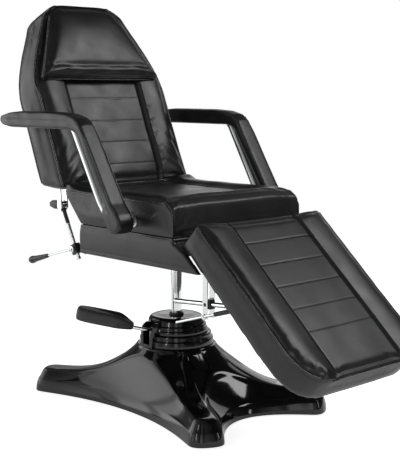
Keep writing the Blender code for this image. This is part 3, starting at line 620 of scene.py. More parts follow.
def round_end(thing, plane, start, reach, half, middle=0.0):
    """Round a cushion's corners in plan, from start over a reach along it."""
    points = read(thing.data.vertices)
    x, s, _ = plane.local(points)
    near = np.clip((s - start) / reach, 0, 0.98)
    points[:, 0] -= (x - middle) * abs(reach) * (1 - np.sqrt(1 - near ** 2)) / half
    write(thing.data, points)


def back_half(s):
    """Half the back's width at a distance s up its face."""
    waist, shoulder = 0.38, 0.62
    lower, upper = 0.284, 0.186
    s = np.asarray(s, float)
    narrowing = lower - (lower - upper) * np.clip((s - waist) / (shoulder - waist), 0, 1) ** 1.4
    crown = upper * np.sqrt(np.clip(1 - ((s - shoulder) / 0.088) ** 2, 0, 1))
    return np.where(s < shoulder, narrowing, crown)


# Folds at the lower corners of the back, each from a start to an end (across, along).
CORNER_FOLDS = [((0.268, 0.012), (0.206, 0.060)), ((0.272, 0.050), (0.196, 0.120)),
                ((0.236, 0.008), (0.182, 0.030)), ((0.276, 0.105), (0.232, 0.168))]
BACK_LINES = [0.0, 0.081, 0.163, 0.243, 0.328, 0.410]


def back_shape(x, s, facing, points):
    front = step(facing, 0.2, 0.8)
    edge = back_half(s) - np.abs(x)
    bolster = np.clip((np.abs(x) - PANEL - 0.012) / np.maximum(back_half(s) - PANEL - 0.012, 0.02), 0, 1)
    lower = 1 - step(s, 0.40, 0.50)
    face = channel(x, PANEL + 0.004, 0.013, 0.013) * lower + quilt(x, s, BACK_LINES)
    face += 0.007 * np.sin(math.pi * bolster) * lower
    face -= 0.002 * (1 - lower) * step(edge, 0.0, 0.06)
    face += 0.0016 * ripple(points, 0.16, 3)
    for side, skew in ((-1, 0.0), (1, 0.012)):
        across = x * side
        for start, end in CORNER_FOLDS:
            face += crease(across, s, start, (end[0], end[1] + skew), 0.0085, 0.0015)
        for number in range(5):
            at = 0.060 + 0.052 * number + skew
            face += crease(across, s, (0.166, at), (0.186, at + 0.012), 0.0055, 0.0010)
    return front * face + side * 0.002 * ripple(points, 0.12, 8)


def back_rim(inset, low, high, count=46):
    """Points (across, along) up one side of the back, over its top and down the other."""
    side = [(float(back_half(s)) - inset, s) for s in between(low, high, count)]
    reach = side[-1][0]
    top = [(x, high) for x in between(reach, -reach, 12)][1:-1]
    return side + top + [(-x, s) for x, s in reversed(side)]


def make_back():
    back = foam("back_upholstery", ["back_cushion", "back_board"], 0.0068, 5)
    puff(back, BACK, -0.100, 0.008)
    sculpt(back, BACK, back_shape)
    show(back, VINYL, "back", "back_cushion", "back_board")
    stitches("back_stitching", BACK, BACK_LINES[1:-1], PANEL - 0.002, back, "back")
    rim = back_rim(-0.003, 0.006, 0.684, 90)
    front = [BACK.world(x, s, 0.004 - 0.011 * float(step(s, 0.35, 0.39))) for x, s in rim]
    welt("back_welt_front", front, back, "back")
    rear = -0.1183
    rim = back_rim(-0.003, 0.062, 0.682, 80)
    welt("back_welt_rear", [BACK.world(x, s, rear - 0.004) for x, s in rim], back, "back", 0.0026)
    foot = [BACK.world(x, -0.003, 0.002) for x in between(-0.277, 0.277, 70)]
    welt("back_welt_foot", foot, back, "back", 0.0026)
    plate = back_rim(0.024, 0.078, 0.664, 24)
    corners = [BACK.world(x, s, rear + 0.0008) for x, s in plate]
    cover = slab(corners, Vector(BACK.out) * -0.0026, 0.0011, 2)
    show(build("back_dust_cover", cover), LINING, "back")
    staples(plate, rear - 0.0019)


def staples(plate, depth):
    """Upholstery staples round the dust cover."""
    pins = []
    for start, end in zip(plate, plate[1:] + plate[:1]):
        middle = Vector(((start[0] + end[0]) / 2 * 0.970, (start[1] + end[1]) / 2 * 0.982 + 0.006))
        heading = Vector((end[0] - start[0], end[1] - start[1])).normalized() * 0.005
        ends = [BACK.world(*(middle + heading * k), depth - 0.0003) for k in (-1, 1)]
        pins.append(sweep("back_staples", ends, 0.0007, 8))
    show(merge(*pins), CHROME, "back")


PILLOW_LOW = 0.392
PILLOW_HIGH = 0.680
PILLOW_ROLL = 0.436
PILLOW_MIDDLE = -0.012


def pillow_half(s):
    share = np.clip((np.asarray(s, float) - PILLOW_LOW) / (PILLOW_HIGH - PILLOW_LOW), 0, 1)
    return 0.257 + (0.132 - 0.257) * share


def pillow_shape(x, s, facing, points):
    front = step(facing, 0.10, 0.6)
    height = np.clip((s - PILLOW_ROLL) / (PILLOW_HIGH - PILLOW_ROLL), 0, 1)
    inward = np.abs(x - PILLOW_MIDDLE) / pillow_half(s)
    face = 0.012 * np.sin(math.pi * height ** 0.9) * np.clip(1 - inward ** 2, 0, 1) ** 0.8
    face -= 0.0026 * ridge(s - PILLOW_ROLL, 0.011)
    face -= 0.012 * np.clip((s - PILLOW_HIGH + 0.110) / 0.110, 0, 1) ** 2
    face -= 0.008 * np.clip((PILLOW_LOW + 0.020 - s) / 0.020, 0, 1) ** 2
    roll = ridge(s - (PILLOW_LOW + 0.021), 0.022)
    face += roll * (0.002 + 0.0032 * ripple(points * (1, 0.4, 0.4), 0.050, 21))
    face += 0.0018 * ripple(points, 0.15, 22)
    return front * face


def make_pillow():
    pillow = foam("head_pillow_cover", ["head_pillow"], 0.005, 9)
    puff(pillow, BACK, 0.006, 0.009)
    round_end(pillow, BACK, PILLOW_HIGH - 0.055, 0.055, 0.135, PILLOW_MIDDLE)
    sculpt(pillow, BACK, pillow_shape)
    show(pillow, VINYL, "pillow", "head_pillow")
    for side, name in SIDES:
        edge = []
        for s in between(PILLOW_LOW + 0.010, PILLOW_HIGH - 0.045, 60):
            share = (s - PILLOW_LOW) / (PILLOW_HIGH - PILLOW_LOW)
            across = PILLOW_MIDDLE + side * (float(pillow_half(s)) + 0.002)
            edge.append(BACK.world(across, s, 0.030 - 0.020 * share))
        welt("pillow_welt_" + name, edge, pillow, "pillow", 0.0028)
    reach = float(pillow_half(PILLOW_LOW)) - 0.008
    foot = [BACK.world(x, PILLOW_LOW - 0.002, 0.017)
            for x in between(PILLOW_MIDDLE - reach, PILLOW_MIDDLE + reach, 80)]
    welt("pillow_welt_foot", foot, pillow, "pillow", 0.0028)


SEAT_LINES = [-0.190, -0.105, -0.020, 0.065, 0.150]


def seat_shape(x, s, facing, points):
    """s runs from the pump's axis towards the sitter's feet."""
    top = step(facing, 0.15, 0.75)
    front_edge = -SEAT_FRONT - s
    inside = 1 - step(np.abs(x), PANEL + 0.004, PANEL + 0.050)
    inside = inside * step(front_edge, 0.055, 0.135)
    face = 0.009 + 0.006 * np.clip(1 - (np.abs(x) / SEAT_HALF) ** 4, 0, 1) - 0.015 * inside
    face += quilt(x, s, SEAT_LINES) * step(front_edge, 0.09, 0.13)
    face -= 0.003 * ridge(np.abs(x) - PANEL - 0.004, 0.0035) * step(front_edge, 0.10, 0.15)
    face += 0.019 * ridge(s + 0.238, 0.034)
    face += 0.0018 * ripple(points, 0.17, 31)
    return top * face


def make_seat():
    seat = foam("seat_upholstery", ["seat_cushion"], 0.0065, 3)
    puff(seat, SEAT, -0.085, 0.008)
    sculpt(seat, SEAT, seat_shape)
    show(seat, VINYL, "seat", "seat_cushion")
    for side, name in SIDES:
        x = side * (SEAT_HALF + 0.001)
        edge = [(x, y, SEAT_TOP + 0.004) for y in between(0.240, SEAT_FRONT + 0.03, 80)]
        edge += [(x, SEAT_FRONT - 0.002, z) for z in between(SEAT_TOP - 0.03, 0.622, 24)]
        welt("seat_welt_" + name, edge, seat, "seat", 0.0028)
    stitches("seat_stitching", SEAT, SEAT_LINES, PANEL - 0.004, seat, "seat")


def leg_half(s):
    """Half the leg rest's width at a distance s down its face."""
    t = np.clip((np.asarray(s, float) - 0.44) / 0.155, 0, 1)
    return 0.275 - 0.100 * (1 - (1 - t) ** (1 / 1.6)) ** 2.2


LEG_LINES = [0.012, 0.098, 0.183, 0.268, 0.350, 0.432]


def leg_shape(x, s, facing, points):
    front = step(facing, 0.2, 0.8)
    place = 0.146
    bolster = np.clip((np.abs(x) - place - 0.010) / np.maximum(leg_half(s) - place - 0.010, 0.02), 0, 1)
    toe = 1 - step(s, 0.570, 0.600)
    face = channel(x, place, 0.005, 0.011) * toe + quilt(x, s, LEG_LINES)
    face += 0.0055 * np.sin(math.pi * bolster) * toe
    face += 0.0012 * ripple(points, 0.18, 41)
    side = 1 - step(np.abs(facing), 0.2, 0.8)
    return front * face + side * 0.0015 * ripple(points, 0.14, 42)


def make_leg():
    leg = foam("leg_upholstery", ["leg_cushion", "leg_board"], 0.0066, 5)
    puff(leg, LEG, -0.080, 0.008)
    round_end(leg, LEG, 0.012, -0.012, 0.275)
    sculpt(leg, LEG, leg_shape)
    show(leg, VINYL, "leg_rest", "leg_cushion", "leg_board")
    for side, name in SIDES:
        edge = [LEG.world(side * (float(leg_half(s)) + 0.003), s, 0.003)
                for s in between(0.012, 0.585, 90)]
        welt("leg_welt_" + name, edge, leg, "leg_rest", 0.0030)
    stitches("leg_stitching", LEG, LEG_LINES, PANEL - 0.008, leg, "leg_rest")
    toe = [LEG.world(x, 0.600, -0.004) for x in between(-0.165, 0.165, 50)]
    welt("leg_welt_toe", toe, leg, "leg_rest", 0.0026)


# ---- seat box -----------------------------------------------------------------------------
def make_seat_box():
    """The upholstered apron under the cushion, with a stitched band along its lower edge."""
    nodes = ["seat_side_left", "seat_side_right", "seat_rear_panel", "seat_board"]
    box = foam("seat_box_cover", nodes, 0.0042, 2)
    low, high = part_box("seat_side_left")[0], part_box("seat_board")[1]
    points, normals = skin_of(box)
    height = np.clip((points[:, 2] - low.z) / (high.z - low.z), 0, 1)
    outer = step(np.abs(normals[:, 0]), 0.4, 0.95) * step(np.abs(points[:, 0]), 0.270, 0.277)
    swell = 0.0020 * np.sin(math.pi * height) + 0.0007 * ripple(points, 0.15, 51)
    swell -= 0.0022 * ridge(points[:, 2] - (low.z + 0.013), 0.0026)
    points[:, 0] += np.sign(points[:, 0]) * outer * swell
    write(box.data, points)
    show(box, VINYL, "seat", *nodes)
    for side, name in SIDES:
        x = side * (SEAT_HALF + 0.001)
        line = [(x, y, high.z + 0.0004) for y in between(SEAT_REAR - 0.006, SEAT_FRONT + 0.004, 70)]
        welt("seat_seam_" + name, line, box, "seat", 0.0018, 0.0)
        line = [(x, y, low.z + 0.013) for y in between(SEAT_REAR - 0.006, SEAT_FRONT + 0.060, 70)]
        welt("seat_rail_seam_" + name, line, box, "seat", 0.0010, 0.0)
        profile = [(0, 0.0026), (0.0040, 0.0022), (0.0055, 0.0), (0, 0.0)]
        screw = lathe("seat_box_screw_" + name, profile, 0.0005, 32,
                      (side * 0.272, SEAT_REAR - 0.020, low.z), (0, 0, -1))
        show(screw, CHROME, "seat")


# ---- armrests -----------------------------------------------------------------------------
def pad_outline():
    """Side view of an armrest pad: a level rest, a bend and a slanted leg with a round foot."""
    top = [(0.513, 0.953), (0.490, 0.965), (0.430, 0.977), (0.380, 0.981), (0.170, 0.981),
           (0.100, 0.977), (0.055, 0.966), (0.026, 0.944)]
    front = [(0.010, 0.920), (-0.122, 0.710), (-0.155, 0.677)]
    foot = arc(ARM_FOOT, 0.033, 160, 350, 10)
    rear = [(-0.058, 0.704), (0.070, 0.923), (0.082, 0.930), (0.420, 0.930), (0.475, 0.937),
            (0.504, 0.947)]
    return top + front + foot + rear


def make_armrest(side, name):
    body = "armrest_" + name
    x = side * ARM_X
    raw = prism("armrest_cover_" + name, pad_outline(), x - ARM_HALF, x + ARM_HALF, 0.010, 3)
    even_skin(raw, 0.0042, 4)
    points, normals = skin_of(raw)
    level = step(points[:, 1], 0.06, 0.10)
    flank = step(np.abs(normals[:, 0]), 0.5, 0.95)
    seam = 0.9545 + 0.006 * step(points[:, 1], 0.40, 0.53)
    sink = 0.0020 * ridge(points[:, 2] - seam, 0.0022) * level * flank
    swell = 0.0022 * ripple(points, 0.09, 61) * flank
    points += normals * (swell - sink)[:, None]
    depth = (points[:, 1] + 0.122 - (points[:, 2] - 0.710) * 0.629) / 0.062
    rearward = step(depth, 0.38, 0.95) * step(points[:, 2], 0.672, 0.712)
    rearward *= 1 - step(points[:, 2], 0.905, 0.935)
    points[:, 0] = x + (points[:, 0] - x) * (1 - 0.66 * rearward)
    end = np.clip((points[:, 1] - 0.412) / 0.104, 0, 0.95)
    points[:, 0] = x + (points[:, 0] - x) * np.sqrt(1 - end ** 2)
    upper = step(normals[:, 2], 0.3, 0.9)
    points[:, 2] += 0.003 * upper * (1 - ((points[:, 0] - x) / ARM_HALF) ** 2)
    write(raw.data, points)
    show(raw, VINYL, body, "armrest_pad_" + name)
    for face in (-1, 1):
        edge_x = x + face * (ARM_HALF + 0.002)
        line = [(edge_x, y, z) for y, z in ((0.040, 0.966), (0.022, 0.948), (0.004, 0.922))]
        line += [(edge_x, *spot) for spot in zip(between(-0.008, -0.120, 30), between(0.900, 0.722, 30))]
        line += [(edge_x, y, z) for y, z in ((-0.134, 0.705), (-0.150, 0.688))]
        facing = "in" if face * side < 0 else "out"
        welt("armrest_welt_%s_%s" % (name, facing), line, raw, body, 0.0016, 0.2)
    y, z = ARM_FOOT
    path = [(x, 0.300, 0.9555), (x, 0.1050, 0.9555), (x, -0.0560, 0.6790), (x, y, z)]
    tube = sweep("armrest_rail_" + name, bowed(path, 0.045, 12), 0.0132, 40)
    profile = [(0.0, 0.0), (0.0165, 0.0), (0.0165, 0.010), (0.0135, 0.012), (0.0135, 0.050), (0, 0.050)]
    collar = lathe("collar", profile, 0.001, 48, (side * (SEAT_HALF + 0.0055), y, z), (side, 0, 0))
    peg = sweep("peg", [(side * 0.216, y, z), (side * 0.292, y, z)], 0.008, 28)
    show(merge(tube, collar, peg), CHROME, body, "armrest_tube_" + name)
    screw = lathe("armrest_screw_" + name, [(0, 0.0035), (0.0045, 0.003), (0.0062, 0.0), (0, 0.0)],
                  0.0006, 32, (x, 0.097, 0.9290), (0, 0, -1))
    show(screw, STEEL, body)


# ---- struts, locks and levers -------------------------------------------------------------
def make_strut(name, radius, length):
    """A chrome rod from its eye through its lock, with a cap on its free end."""
    top = PIVOT[name + "_hinge"]
    heading = (PIVOT[name.replace("strut", "lock") + "_hinge"] - top).normalized()
    rod = sweep(name + "_rod", [top + heading * 0.007, top + heading * (length - 0.003)], radius, 32)
    wide = radius + 0.0012
    nut = lathe("nut", [(0, 0), (wide, 0), (wide, 0.007), (radius, 0.0092), (0, 0.0095)], 0.0008, 32,
                top + heading * (length - 0.0095), heading)
    eye = boss(PIN_EYE, 0.0105, 0.0085, 0.0012, top)
    show(merge(rod, eye, nut), CHROME, name, name)
    return heading


def make_back_strut():
    top = PIVOT["back_strut_hinge"]
    heading = make_strut("back_strut", BACK_STRUT_RADIUS, 0.200)
    profile = [(0.0066, 0.010), (0.0103, 0.010), (0.0106, 0.014), (0.0074, 0.0172), (0.0069, 0.018),
               (0.0069, 0.064), (0.0066, 0.064)]
    sleeve = lathe("back_strut_sleeve", profile, 0.0008, 40, top, heading)
    show(sleeve, GRIP, "back_strut")
    y, z = top.y, top.z
    outline = [(y + 0.008, z - 0.010), (y + 0.040, z - 0.011), (y + 0.066, z - 0.004),
               (y + 0.068, z + 0.010), (y + 0.052, z + 0.019), (y + 0.008, z + 0.016)]
    foot = prism("back_strut_stop", outline, top.x - 0.0105, top.x + 0.0105, 0.004, 4)
    show(foot, GRIP, "back")


def make_back_lever():
    pivot = PIVOT["back_lock_hinge"]
    x = pivot.x - 0.0168
    heading = Vector((0, math.cos(LEVER_DROP), -math.sin(LEVER_DROP)))
    centre = Vector((x, pivot.y, pivot.z))
    rod = sweep("back_lever_rod", [centre + heading * 0.006, centre + heading * 0.170], 0.0037, 24)
    hub = boss(0, 0.011, 0.0042, 0.001, centre)
    cap = [(0, -0.0075), (0.005, -0.0072), (0.0062, -0.0040), (0, -0.0040)]
    cap = lathe("cap", cap, 0.0006, 6, centre, ACROSS)
    show(merge(rod, hub, cap), CHROME, "back_lever", "back_lever")
    profile = [(0, 0.1185), (0.0065, 0.1172), (0.0115, 0.112), (0.0137, 0.105), (0.0137, 0.099),
               (0.0112, 0.080), (0.0078, 0.012), (0.0068, 0.0), (0.0040, 0.0), (0.0040, 0.100), (0, 0.100)]
    grip = lathe("back_lever_knob", profile, 0.0015, 48, centre + heading * 0.150, heading)
    show(grip, GRIP, "back_lever", "back_lever_grip")


def make_leg_lever():
    pivot = PIVOT["leg_lever_hinge"]
    centre = Vector((pivot.x - 0.0075, pivot.y, pivot.z))
    slope = math.radians(17)
    heading = Vector((0, -math.cos(slope), math.sin(slope)))
    rod = sweep("leg_lever_rod", [centre - heading * 0.133, centre + heading * 0.120], 0.0046, 24)
    show(merge(rod, boss(0.0044, 0.0095, 0.0031, 0.0008, centre)), CHROME, "leg_lever", "leg_lever")
    profile = [(0, 0.0905), (0.0055, 0.0890), (0.0080, 0.083), (0.0082, 0.078)]
    for ring in range(7):
        height = 0.070 - ring * 0.010
        profile += [(0.0079, height), (0.0068, height - 0.003), (0.0068, height - 0.005),
                    (0.0077, height - 0.008)]
    profile += [(0.0070, 0.0), (0.0048, 0.0), (0.0048, 0.080), (0, 0.080)]
    grip = lathe("leg_lever_sleeve", profile, 0.0007, 36, centre + heading * 0.053, heading)
    show(grip, RUBBER, "leg_lever", "leg_lever_grip")


# ---- base and pump ------------------------------------------------------------------------
FOOT_ANGLE = math.radians(59.0)
FOOT_REACH = 0.508
COVER_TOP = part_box("base_cover")[1].z
RIDGE_END = 0.083
CORNER = 0.022                  # how far a foot's corners are rounded back


def arm_angles():
    return [FOOT_ANGLE, math.pi - FOOT_ANGLE, math.pi + FOOT_ANGLE, -FOOT_ANGLE]


def star_ring(reach, half, side_waist, end_waist, steps=12):
    """The cover's plan at one level: four round-cornered foot ends joined by hollow curves."""
    ring = []
    angles = arm_angles()
    for number, angle in enumerate(angles):
        along = Vector((math.cos(angle), math.sin(angle)))
        across = Vector((-along.y, along.x))
        for share in (-1.0, -0.93, -0.75, -0.4, 0.0, 0.4, 0.75, 0.93, 1.0):
            bow = 0.14 * half * (1 - share * share) - CORNER * abs(share) ** 6
            ring.append(along * (reach + bow) + across * half * share)
        leaving = ring[-1]
        following = angles[(number + 1) % 4]
        ahead = Vector((math.cos(following), math.sin(following)))
        arriving = ahead * (reach - CORNER) - Vector((-ahead.y, ahead.x)) * half
        middle = (leaving + arriving) / 2
        waist = end_waist if abs(middle.y) > abs(middle.x) else side_waist
        pull = middle.normalized() * (2 * waist) - middle
        for count in range(1, steps):
            t = count / steps
            ring.append(leaving * (1 - t) ** 2 + pull * 2 * t * (1 - t) + arriving * t ** 2)
    return ring


def cover_height(radius):
    """Height of the cover's ridges at a distance from the pump's axis."""
    fall = min(max((radius - 0.13) / (0.40 - 0.13), 0.0), 1.0)
    return RIDGE_END + (COVER_TOP - RIDGE_END) * (1 - fall) ** 2.4


def make_cover():
    """A moulded shell: upright walls round the feet, hollow flanks and four ridges to the tower."""
    skirt = star_ring(FOOT_REACH, 0.056, 0.215, 0.318)
    wall = star_ring(FOOT_REACH - 0.008, 0.0505, 0.202, 0.302)
    edge = star_ring(FOOT_REACH - 0.020, 0.040, 0.158, 0.215)
    ridge_line = star_ring(FOOT_REACH - 0.034, 0.028, 0.146, 0.195)
    rings = [[(p.x, p.y, 0.004) for p in skirt], [(p.x, p.y, 0.007) for p in skirt]]
    for share in (0.3, 0.6, 0.85, 1.0):
        height = 0.006 + 0.040 * share
        rings.append([(*low.lerp(high, share ** 2), height) for low, high in zip(skirt, wall)])
    for share in (0.12, 0.28, 0.45, 0.65, 0.82, 0.95):
        ring = []
        for low, high in zip(wall, edge):
            p = low.lerp(high, share)
            top = cover_height(high.length) - 0.012
            ring.append((p.x, p.y, 0.046 + (top - 0.046) * share ** 1.2))
        rings.append(ring)
    for share in (0.15, 0.5, 0.85):
        ring = []
        for low, high in zip(edge, ridge_line):
            p = low.lerp(high, share)
            ring.append((p.x, p.y, cover_height(p.length) - 0.012 * (1 - share) ** 2))
        rings.append(ring)
    for share in (0.12, 0.35, 0.6, 0.85, 0.97):
        ring = []
        for p in ridge_line:
            radius = p.length + (0.137 - p.length) * share
            q = p.normalized() * radius
            ring.append((q.x, q.y, cover_height(radius)))
        rings.append(ring)
    for radius in (0.1345, 0.1300, 0.098):
        rings.append([(*(p.normalized() * radius), COVER_TOP) for p in ridge_line])
    work = bmesh.new()
    join_rings(work, [[work.verts.new(c) for c in ring] for ring in rings], capped=False)
    cover = build("base_shell", work)
    show(cover, GLOSS, "base", "base_cover")
    wall = cover.modifiers.new("wall", "SOLIDIFY")
    wall.thickness = 0.004
    wall.offset = -1.0
    finer = cover.modifiers.new("finer", "SUBSURF")
    finer.levels = 2
    finer.render_levels = 2
    return cover


def cut(thing, low, high):
    """Cut a box out of a piece."""
    work = bmesh.new()
    size = Vector(high) - Vector(low)
    middle = (Vector(high) + Vector(low)) / 2
    place = Matrix.Translation(middle) @ Matrix.Diagonal((*size, 1.0))
    bmesh.ops.create_cube(work, size=1.0, matrix=place)
    tool = build("tool", work)
    change = thing.modifiers.new("cut", "BOOLEAN")
    change.operation = "DIFFERENCE"
    change.object = tool
    settle(thing)
    bpy.data.objects.remove(tool, do_unlink=True)


def make_tower():
    """The stepped casing round the pump; each step's rounded shoulder catches the light."""
    hole = 0.0245
    top = 0.300
    bend = 0.0185
    shoulder = arc((0.0765, top - bend), bend, 90, 0, 6)
    outside = [(0.0962, 0.2740), (0.1012, 0.2715), (0.1018, 0.2600), (0.1062, 0.2575), (0.1070, 0.2445)]
    inside = [(0.1015, 0.2445), (0.0945, 0.262), (0.0890, 0.282), (0.0760, 0.2960), (hole, 0.2960)]
    cap = lathe("tower_cap_shell", [(hole, top)] + shoulder + outside + inside, 0.0020, 144)
    outside = [(0.100, 0.2442), (0.1165, 0.2442), (0.1185, 0.2410), (0.1192, 0.2290), (0.1245, 0.2262)]
    inside = [(0.1268, 0.2058), (0.1225, 0.2058), (0.115, 0.2405), (0.100, 0.2405)]
    collar = lathe("tower_collar_shell", outside + inside, 0.0020, 144)
    for thing, node in ((cap, "tower_cap"), (collar, "tower_collar")):
        cut(thing, (-0.2, -0.0285, 0.19), (-0.0870, 0.0285, 0.2915))
        show(thing, GLOSS, "base", node)
    profile = [(0.0185, 0.3065), (0.0225, 0.3065), (0.0242, 0.3030), (0.0242, 0.2950), (0.0185, 0.2950)]
    gland = lathe("gland_seal", profile, 0.0010, 64)
    show(gland, RUBBER, "base", "gland_ring")
    low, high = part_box("piston_rod")
    profile = [(0, low.z), (0.018, low.z), (0.018, high.z), (0, high.z)]
    rod = lathe("piston_ram", profile, 0.0010, 96)
    show(rod, CHROME, "lift", "piston_rod")


def make_port():
    """The pedal's port: two cheeks, a sill and an axle, open at the top front."""
    low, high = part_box("pedal_port")
    spin = Matrix.Rotation(math.radians(90), 4, "Z")
    near, far = -high.x, -low.x     # along the port, as its outlines are drawn before the turn
    cheek = [(far, low.z), (near, low.z), (near, high.z), (far - 0.022, high.z),
             (far - 0.006, high.z - 0.010), (far, high.z - 0.030)]
    cheeks = [prism("cheek", cheek, middle - 0.006, middle + 0.006, 0.0018, 3, spin)
              for middle in (-0.0218, 0.0218)]
    sill = [(near, low.z), (far, low.z), (far, low.z + 0.0100), (near, low.z + 0.0100)]
    sill = prism("sill", sill, -0.0165, 0.0165, 0.0010, 2, spin)
    rear = [(near, low.z), (near + 0.0040, low.z), (near + 0.0040, high.z), (near, high.z)]
    rear = prism("rear", rear, -0.0165, 0.0165, 0.0008, 2, spin)
    port = merge(*cheeks, sill, rear)
    port.name = "pedal_port_shell"
    show(port, GLOSS, "base", "pedal_port")
    hub = PIVOT["pedal_hinge"]
    profile = [(0, 0.0042), (0.0052, 0.0040), (0.0068, 0.0020), (0.0068, 0), (0, 0)]
    for side, name in ((-1, "front"), (1, "rear")):
        bolt = lathe("pedal_axle_" + name, profile, 0.0007, 6,
                     hub + Vector((0, side * 0.0278, 0)), (0, side, 0))
        show(bolt, CHROME, "base")


def make_pedal():
    hub = PIVOT["pedal_hinge"]
    path = [hub + Vector(p) for p in ((-0.004, 0, 0), (-0.036, 0, 0.004), (-0.150, 0.112, 0.034))]
    rod = sweep("pedal_rod", bowed(path, 0.014, 8), 0.0060, 28)
    show(merge(rod, boss(PIN_EYE, 0.0105, 0.007, 0.001, hub, (0, 1, 0))), CHROME, "pedal", "pedal_arm")
    turn = Matrix.Rotation(math.radians(135), 4, "Z") @ Matrix.Rotation(math.radians(-11), 4, "Y")
    place = Matrix.Translation(hub + Vector((-0.067, 0.031, 0.005))) @ turn
    length = 0.194
    work = bmesh.new()
    rings = []
    heights = ((0.0, 0.84), (0.003, 0.94), (0.011, 1.0), (0.029, 1.0), (0.037, 0.955), (0.0405, 0.86),
               (0.0418, 0.60))
    for height, size in heights:
        ring = []
        for number in range(56):
            angle = 2 * math.pi * number / 56
            along, across = math.cos(angle), math.sin(angle)
            u = math.copysign(abs(along) ** 0.55, along)
            v = math.copysign(abs(across) ** 0.62, across)
            at = length / 2 * (1 + u * (0.75 + 0.25 * size))
            toe = step(np.float64(at), -0.01, 0.060)
            full = 0.5 + 0.5 * toe
            ring.append(work.verts.new((at, v * 0.0415 * size * full, height * full)))
        rings.append(ring)
    join_rings(work, rings)
    work.transform(place)
    shoe = build("pedal_shoe", work)
    show(shoe, RUBBER, "pedal", "pedal_pad")


def make_foot_pads():
    profile = [(0, 0.0122), (0.021, 0.0122), (0.0225, 0.0085), (0.0215, 0.0070), (0.0235, 0.0055),
               (0.0240, 0.0015), (0.0225, 0.0), (0.0150, 0.0), (0.0130, 0.0012), (0, 0.0012)]
    for number in range(1, 6):
        low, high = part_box("foot_pad_%d" % number)
        middle = (low + high) / 2
        pad = lathe("foot_glide_%d" % number, profile, 0.0006, 48, (middle.x, middle.y, 0))
        show(pad, RUBBER, "base", "foot_pad_%d" % number)


# ---- CAD pieces that are shown as they are, with worn edges ---------------------------------
def dress(node, paint, bevel=0.0008):
    thing = frame["nodes"][node]
    thing.data.materials.clear()
    thing.data.materials.append(paint.material)
    edge = thing.modifiers.new("edge", "BEVEL")
    edge.width = bevel
    edge.segments = 2
    edge.limit_method = "ANGLE"
    edge.angle_limit = math.radians(35)
    edge.harden_normals = True
    thing.data.shade_smooth()
    thing.data.set_sharp_from_angle(angle=math.radians(32))


def dress_steelwork():
    for node in sorted(frame["nodes"]):
        if node.startswith(("back_hinge_ear", "back_hinge_arm", "leg_hinge_ear", "leg_hinge_arm",
                            "arm_socket")):
            dress(node, STEEL)
        if node.startswith(("back_hinge_pin", "leg_hinge_pin")):
            dress(node, CHROME, 0.0006)
    for node in ("base_frame", "pump_cylinder", "swivel_plate", "seat_frame", "back_lock_arm",
                 "back_lock", "leg_lock", "leg_strut_bracket"):
        dress(node, STEEL)
    dress("back_strut_bracket", CHROME)
    dress("leg_lock_bracket", CHROME)


# ---- setting ------------------------------------------------------------------------------
# Brightness of the room by bearing (0 and 1 at -X, 0.25 at -Y) and by height (0.5 is level).
ROOM_SIDES = [(0.0, 0.20), (0.04, 0.60), (0.09, 0.20), (0.11, 0.08), (0.12, 0.75), (0.14, 0.75),
              (0.15, 0.10), (0.18, 0.34), (0.22, 0.20), (0.27, 0.05), (0.295, 0.05), (0.30, 0.60),
              (0.315, 0.05), (0.42, 0.07), (0.46, 0.05), (0.50, 0.05), (0.56, 0.07), (0.60, 0.42),
              (0.64, 0.45), (0.68, 0.06), (0.75, 0.10), (0.775, 0.85), (0.805, 0.85), (0.815, 0.12),
              (0.825, 0.12), (0.835, 1.0), (0.875, 1.0), (0.885, 0.12), (0.90, 0.12), (0.91, 0.85),
              (0.93, 0.80), (1.0, 0.20)]
ROOM_HEIGHTS = [(0.0, 0.25), (0.40, 0.50), (0.46, 1.0), (0.60, 0.90), (0.75, 0.40), (1.0, 0.22)]
ROOM_LIGHT = 1.5


def make_floor():
    """A round white floor that glows more to the camera than to the piece."""
    work = bmesh.new()
    bmesh.ops.create_circle(work, cap_ends=True, segments=96, radius=2.4)
    floor = build("studio_floor", work)
    floor.location.z = -0.0006
    paint = Paint("studio_floor", None, (0.88, 0.88, 0.88), 0.9)
    paint.set("Specular IOR Level", 0.1)
    paint.set("Emission Color", (1.0, 1.0, 1.0, 1.0))
    seen = paint.tree.nodes.new("ShaderNodeLightPath").outputs["Is Camera Ray"]
    paint.feed("Emission Strength", map_range(paint.tree, seen, (0.0, 1.0), (0.42, 0.86)))
    floor.data.materials.append(paint.material)


def greys(stops):
    return [(position, (grey, grey, grey)) for position, grey in stops]


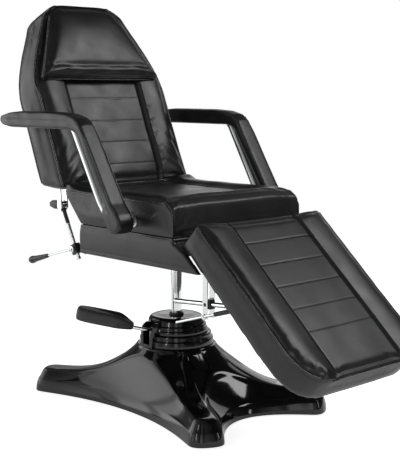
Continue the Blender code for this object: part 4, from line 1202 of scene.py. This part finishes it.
def make_world():
    """White to the camera; for reflections a dim room with light and dark sides."""
    world = bpy.data.worlds.new("studio")
    bpy.context.scene.world = world
    world.use_nodes = True
    tree = world.node_tree
    tree.nodes.clear()
    where = tree.nodes.new("ShaderNodeTexCoord")
    split = tree.nodes.new("ShaderNodeSeparateXYZ")
    tree.links.new(where.outputs["Generated"], split.inputs["Vector"])
    bearing = tree.nodes.new("ShaderNodeMath")
    bearing.operation = "ARCTAN2"
    tree.links.new(split.outputs["Y"], bearing.inputs[0])
    tree.links.new(split.outputs["X"], bearing.inputs[1])
    bearing = map_range(tree, bearing.outputs["Value"], (-math.pi, math.pi), (0.0, 1.0))
    height = map_range(tree, split.outputs["Z"], (-1.0, 1.0), (0.0, 1.0))
    round_room = ramp_node(tree, bearing, greys(ROOM_SIDES))
    up_room = ramp_node(tree, height, greys(ROOM_HEIGHTS))
    product = tree.nodes.new("ShaderNodeMix")
    product.data_type = "RGBA"
    product.blend_type = "MULTIPLY"
    product.inputs["Factor"].default_value = 1.0
    tree.links.new(round_room, product.inputs["A"])
    tree.links.new(up_room, product.inputs["B"])
    room = tree.nodes.new("ShaderNodeBackground")
    tree.links.new(product.outputs["Result"], room.inputs["Color"])
    room.inputs["Strength"].default_value = ROOM_LIGHT
    white = tree.nodes.new("ShaderNodeBackground")
    white.inputs["Color"].default_value = (1.0, 1.0, 1.0, 1.0)
    rays = tree.nodes.new("ShaderNodeLightPath")
    mix = tree.nodes.new("ShaderNodeMixShader")
    tree.links.new(rays.outputs["Is Camera Ray"], mix.inputs["Fac"])
    tree.links.new(room.outputs["Background"], mix.inputs[1])
    tree.links.new(white.outputs["Background"], mix.inputs[2])
    out = tree.nodes.new("ShaderNodeOutputWorld")
    tree.links.new(mix.outputs["Shader"], out.inputs["Surface"])


def softbox(name, at, aim, size, brightness):
    """An area light that looks equally bright at any size."""
    light = bpy.data.lights.new(name, "AREA")
    light.shape = "RECTANGLE"
    light.size, light.size_y = size
    light.energy = brightness * math.pi * size[0] * size[1]
    thing = linked(name, light)
    thing.location = at
    thing.rotation_euler = (Vector(aim) - Vector(at)).to_track_quat("-Z", "Y").to_euler()
    thing.visible_camera = False


def make_lights():
    softbox("front_right", (2.06, -2.05, 3.46), (0, 0.40, 1.05), (2.0, 1.7), 5.2)
    softbox("rear_left", (-1.60, 2.50, 1.30), (0, 0, 0.60), (2.6, 2.4), 0.8)
    softbox("rear", (2.10, 2.30, 1.40), (0, 0, 0.70), (1.8, 0.8), 0.7)
    softbox("right", (3.20, 1.20, 1.40), (0, 0, 0.60), (1.6, 1.6), 0.8)
    softbox("strip_left", (-2.90, -0.90, 1.20), (0, 0, 0.60), (0.22, 1.7), 6.0)
    softbox("strip_right", (1.10, -3.00, 0.90), (0, 0, 0.50), (0.20, 1.3), 4.5)


def make_camera():
    lens = bpy.data.cameras.new("camera")
    lens.lens = 82.54
    lens.sensor_width = 36.0
    camera = linked("camera", lens)
    camera.location = (-2.3161, -2.6107, 1.0624)
    camera.rotation_euler = (math.radians(90 - 7.675), 0, math.radians(-42.891))
    bpy.context.scene.camera = camera


make_back()
make_pillow()
make_seat()
make_leg()
make_seat_box()
make_armrest(1, "left")
make_armrest(-1, "right")
make_back_strut()
make_strut("leg_strut", LEG_STRUT_RADIUS, 0.305)
make_back_lever()
make_leg_lever()
make_cover()
make_tower()
make_port()
make_pedal()
make_foot_pads()
dress_steelwork()
make_floor()
make_world()
make_lights()
make_camera()
bpy.context.scene.view_settings.view_transform = "Standard"
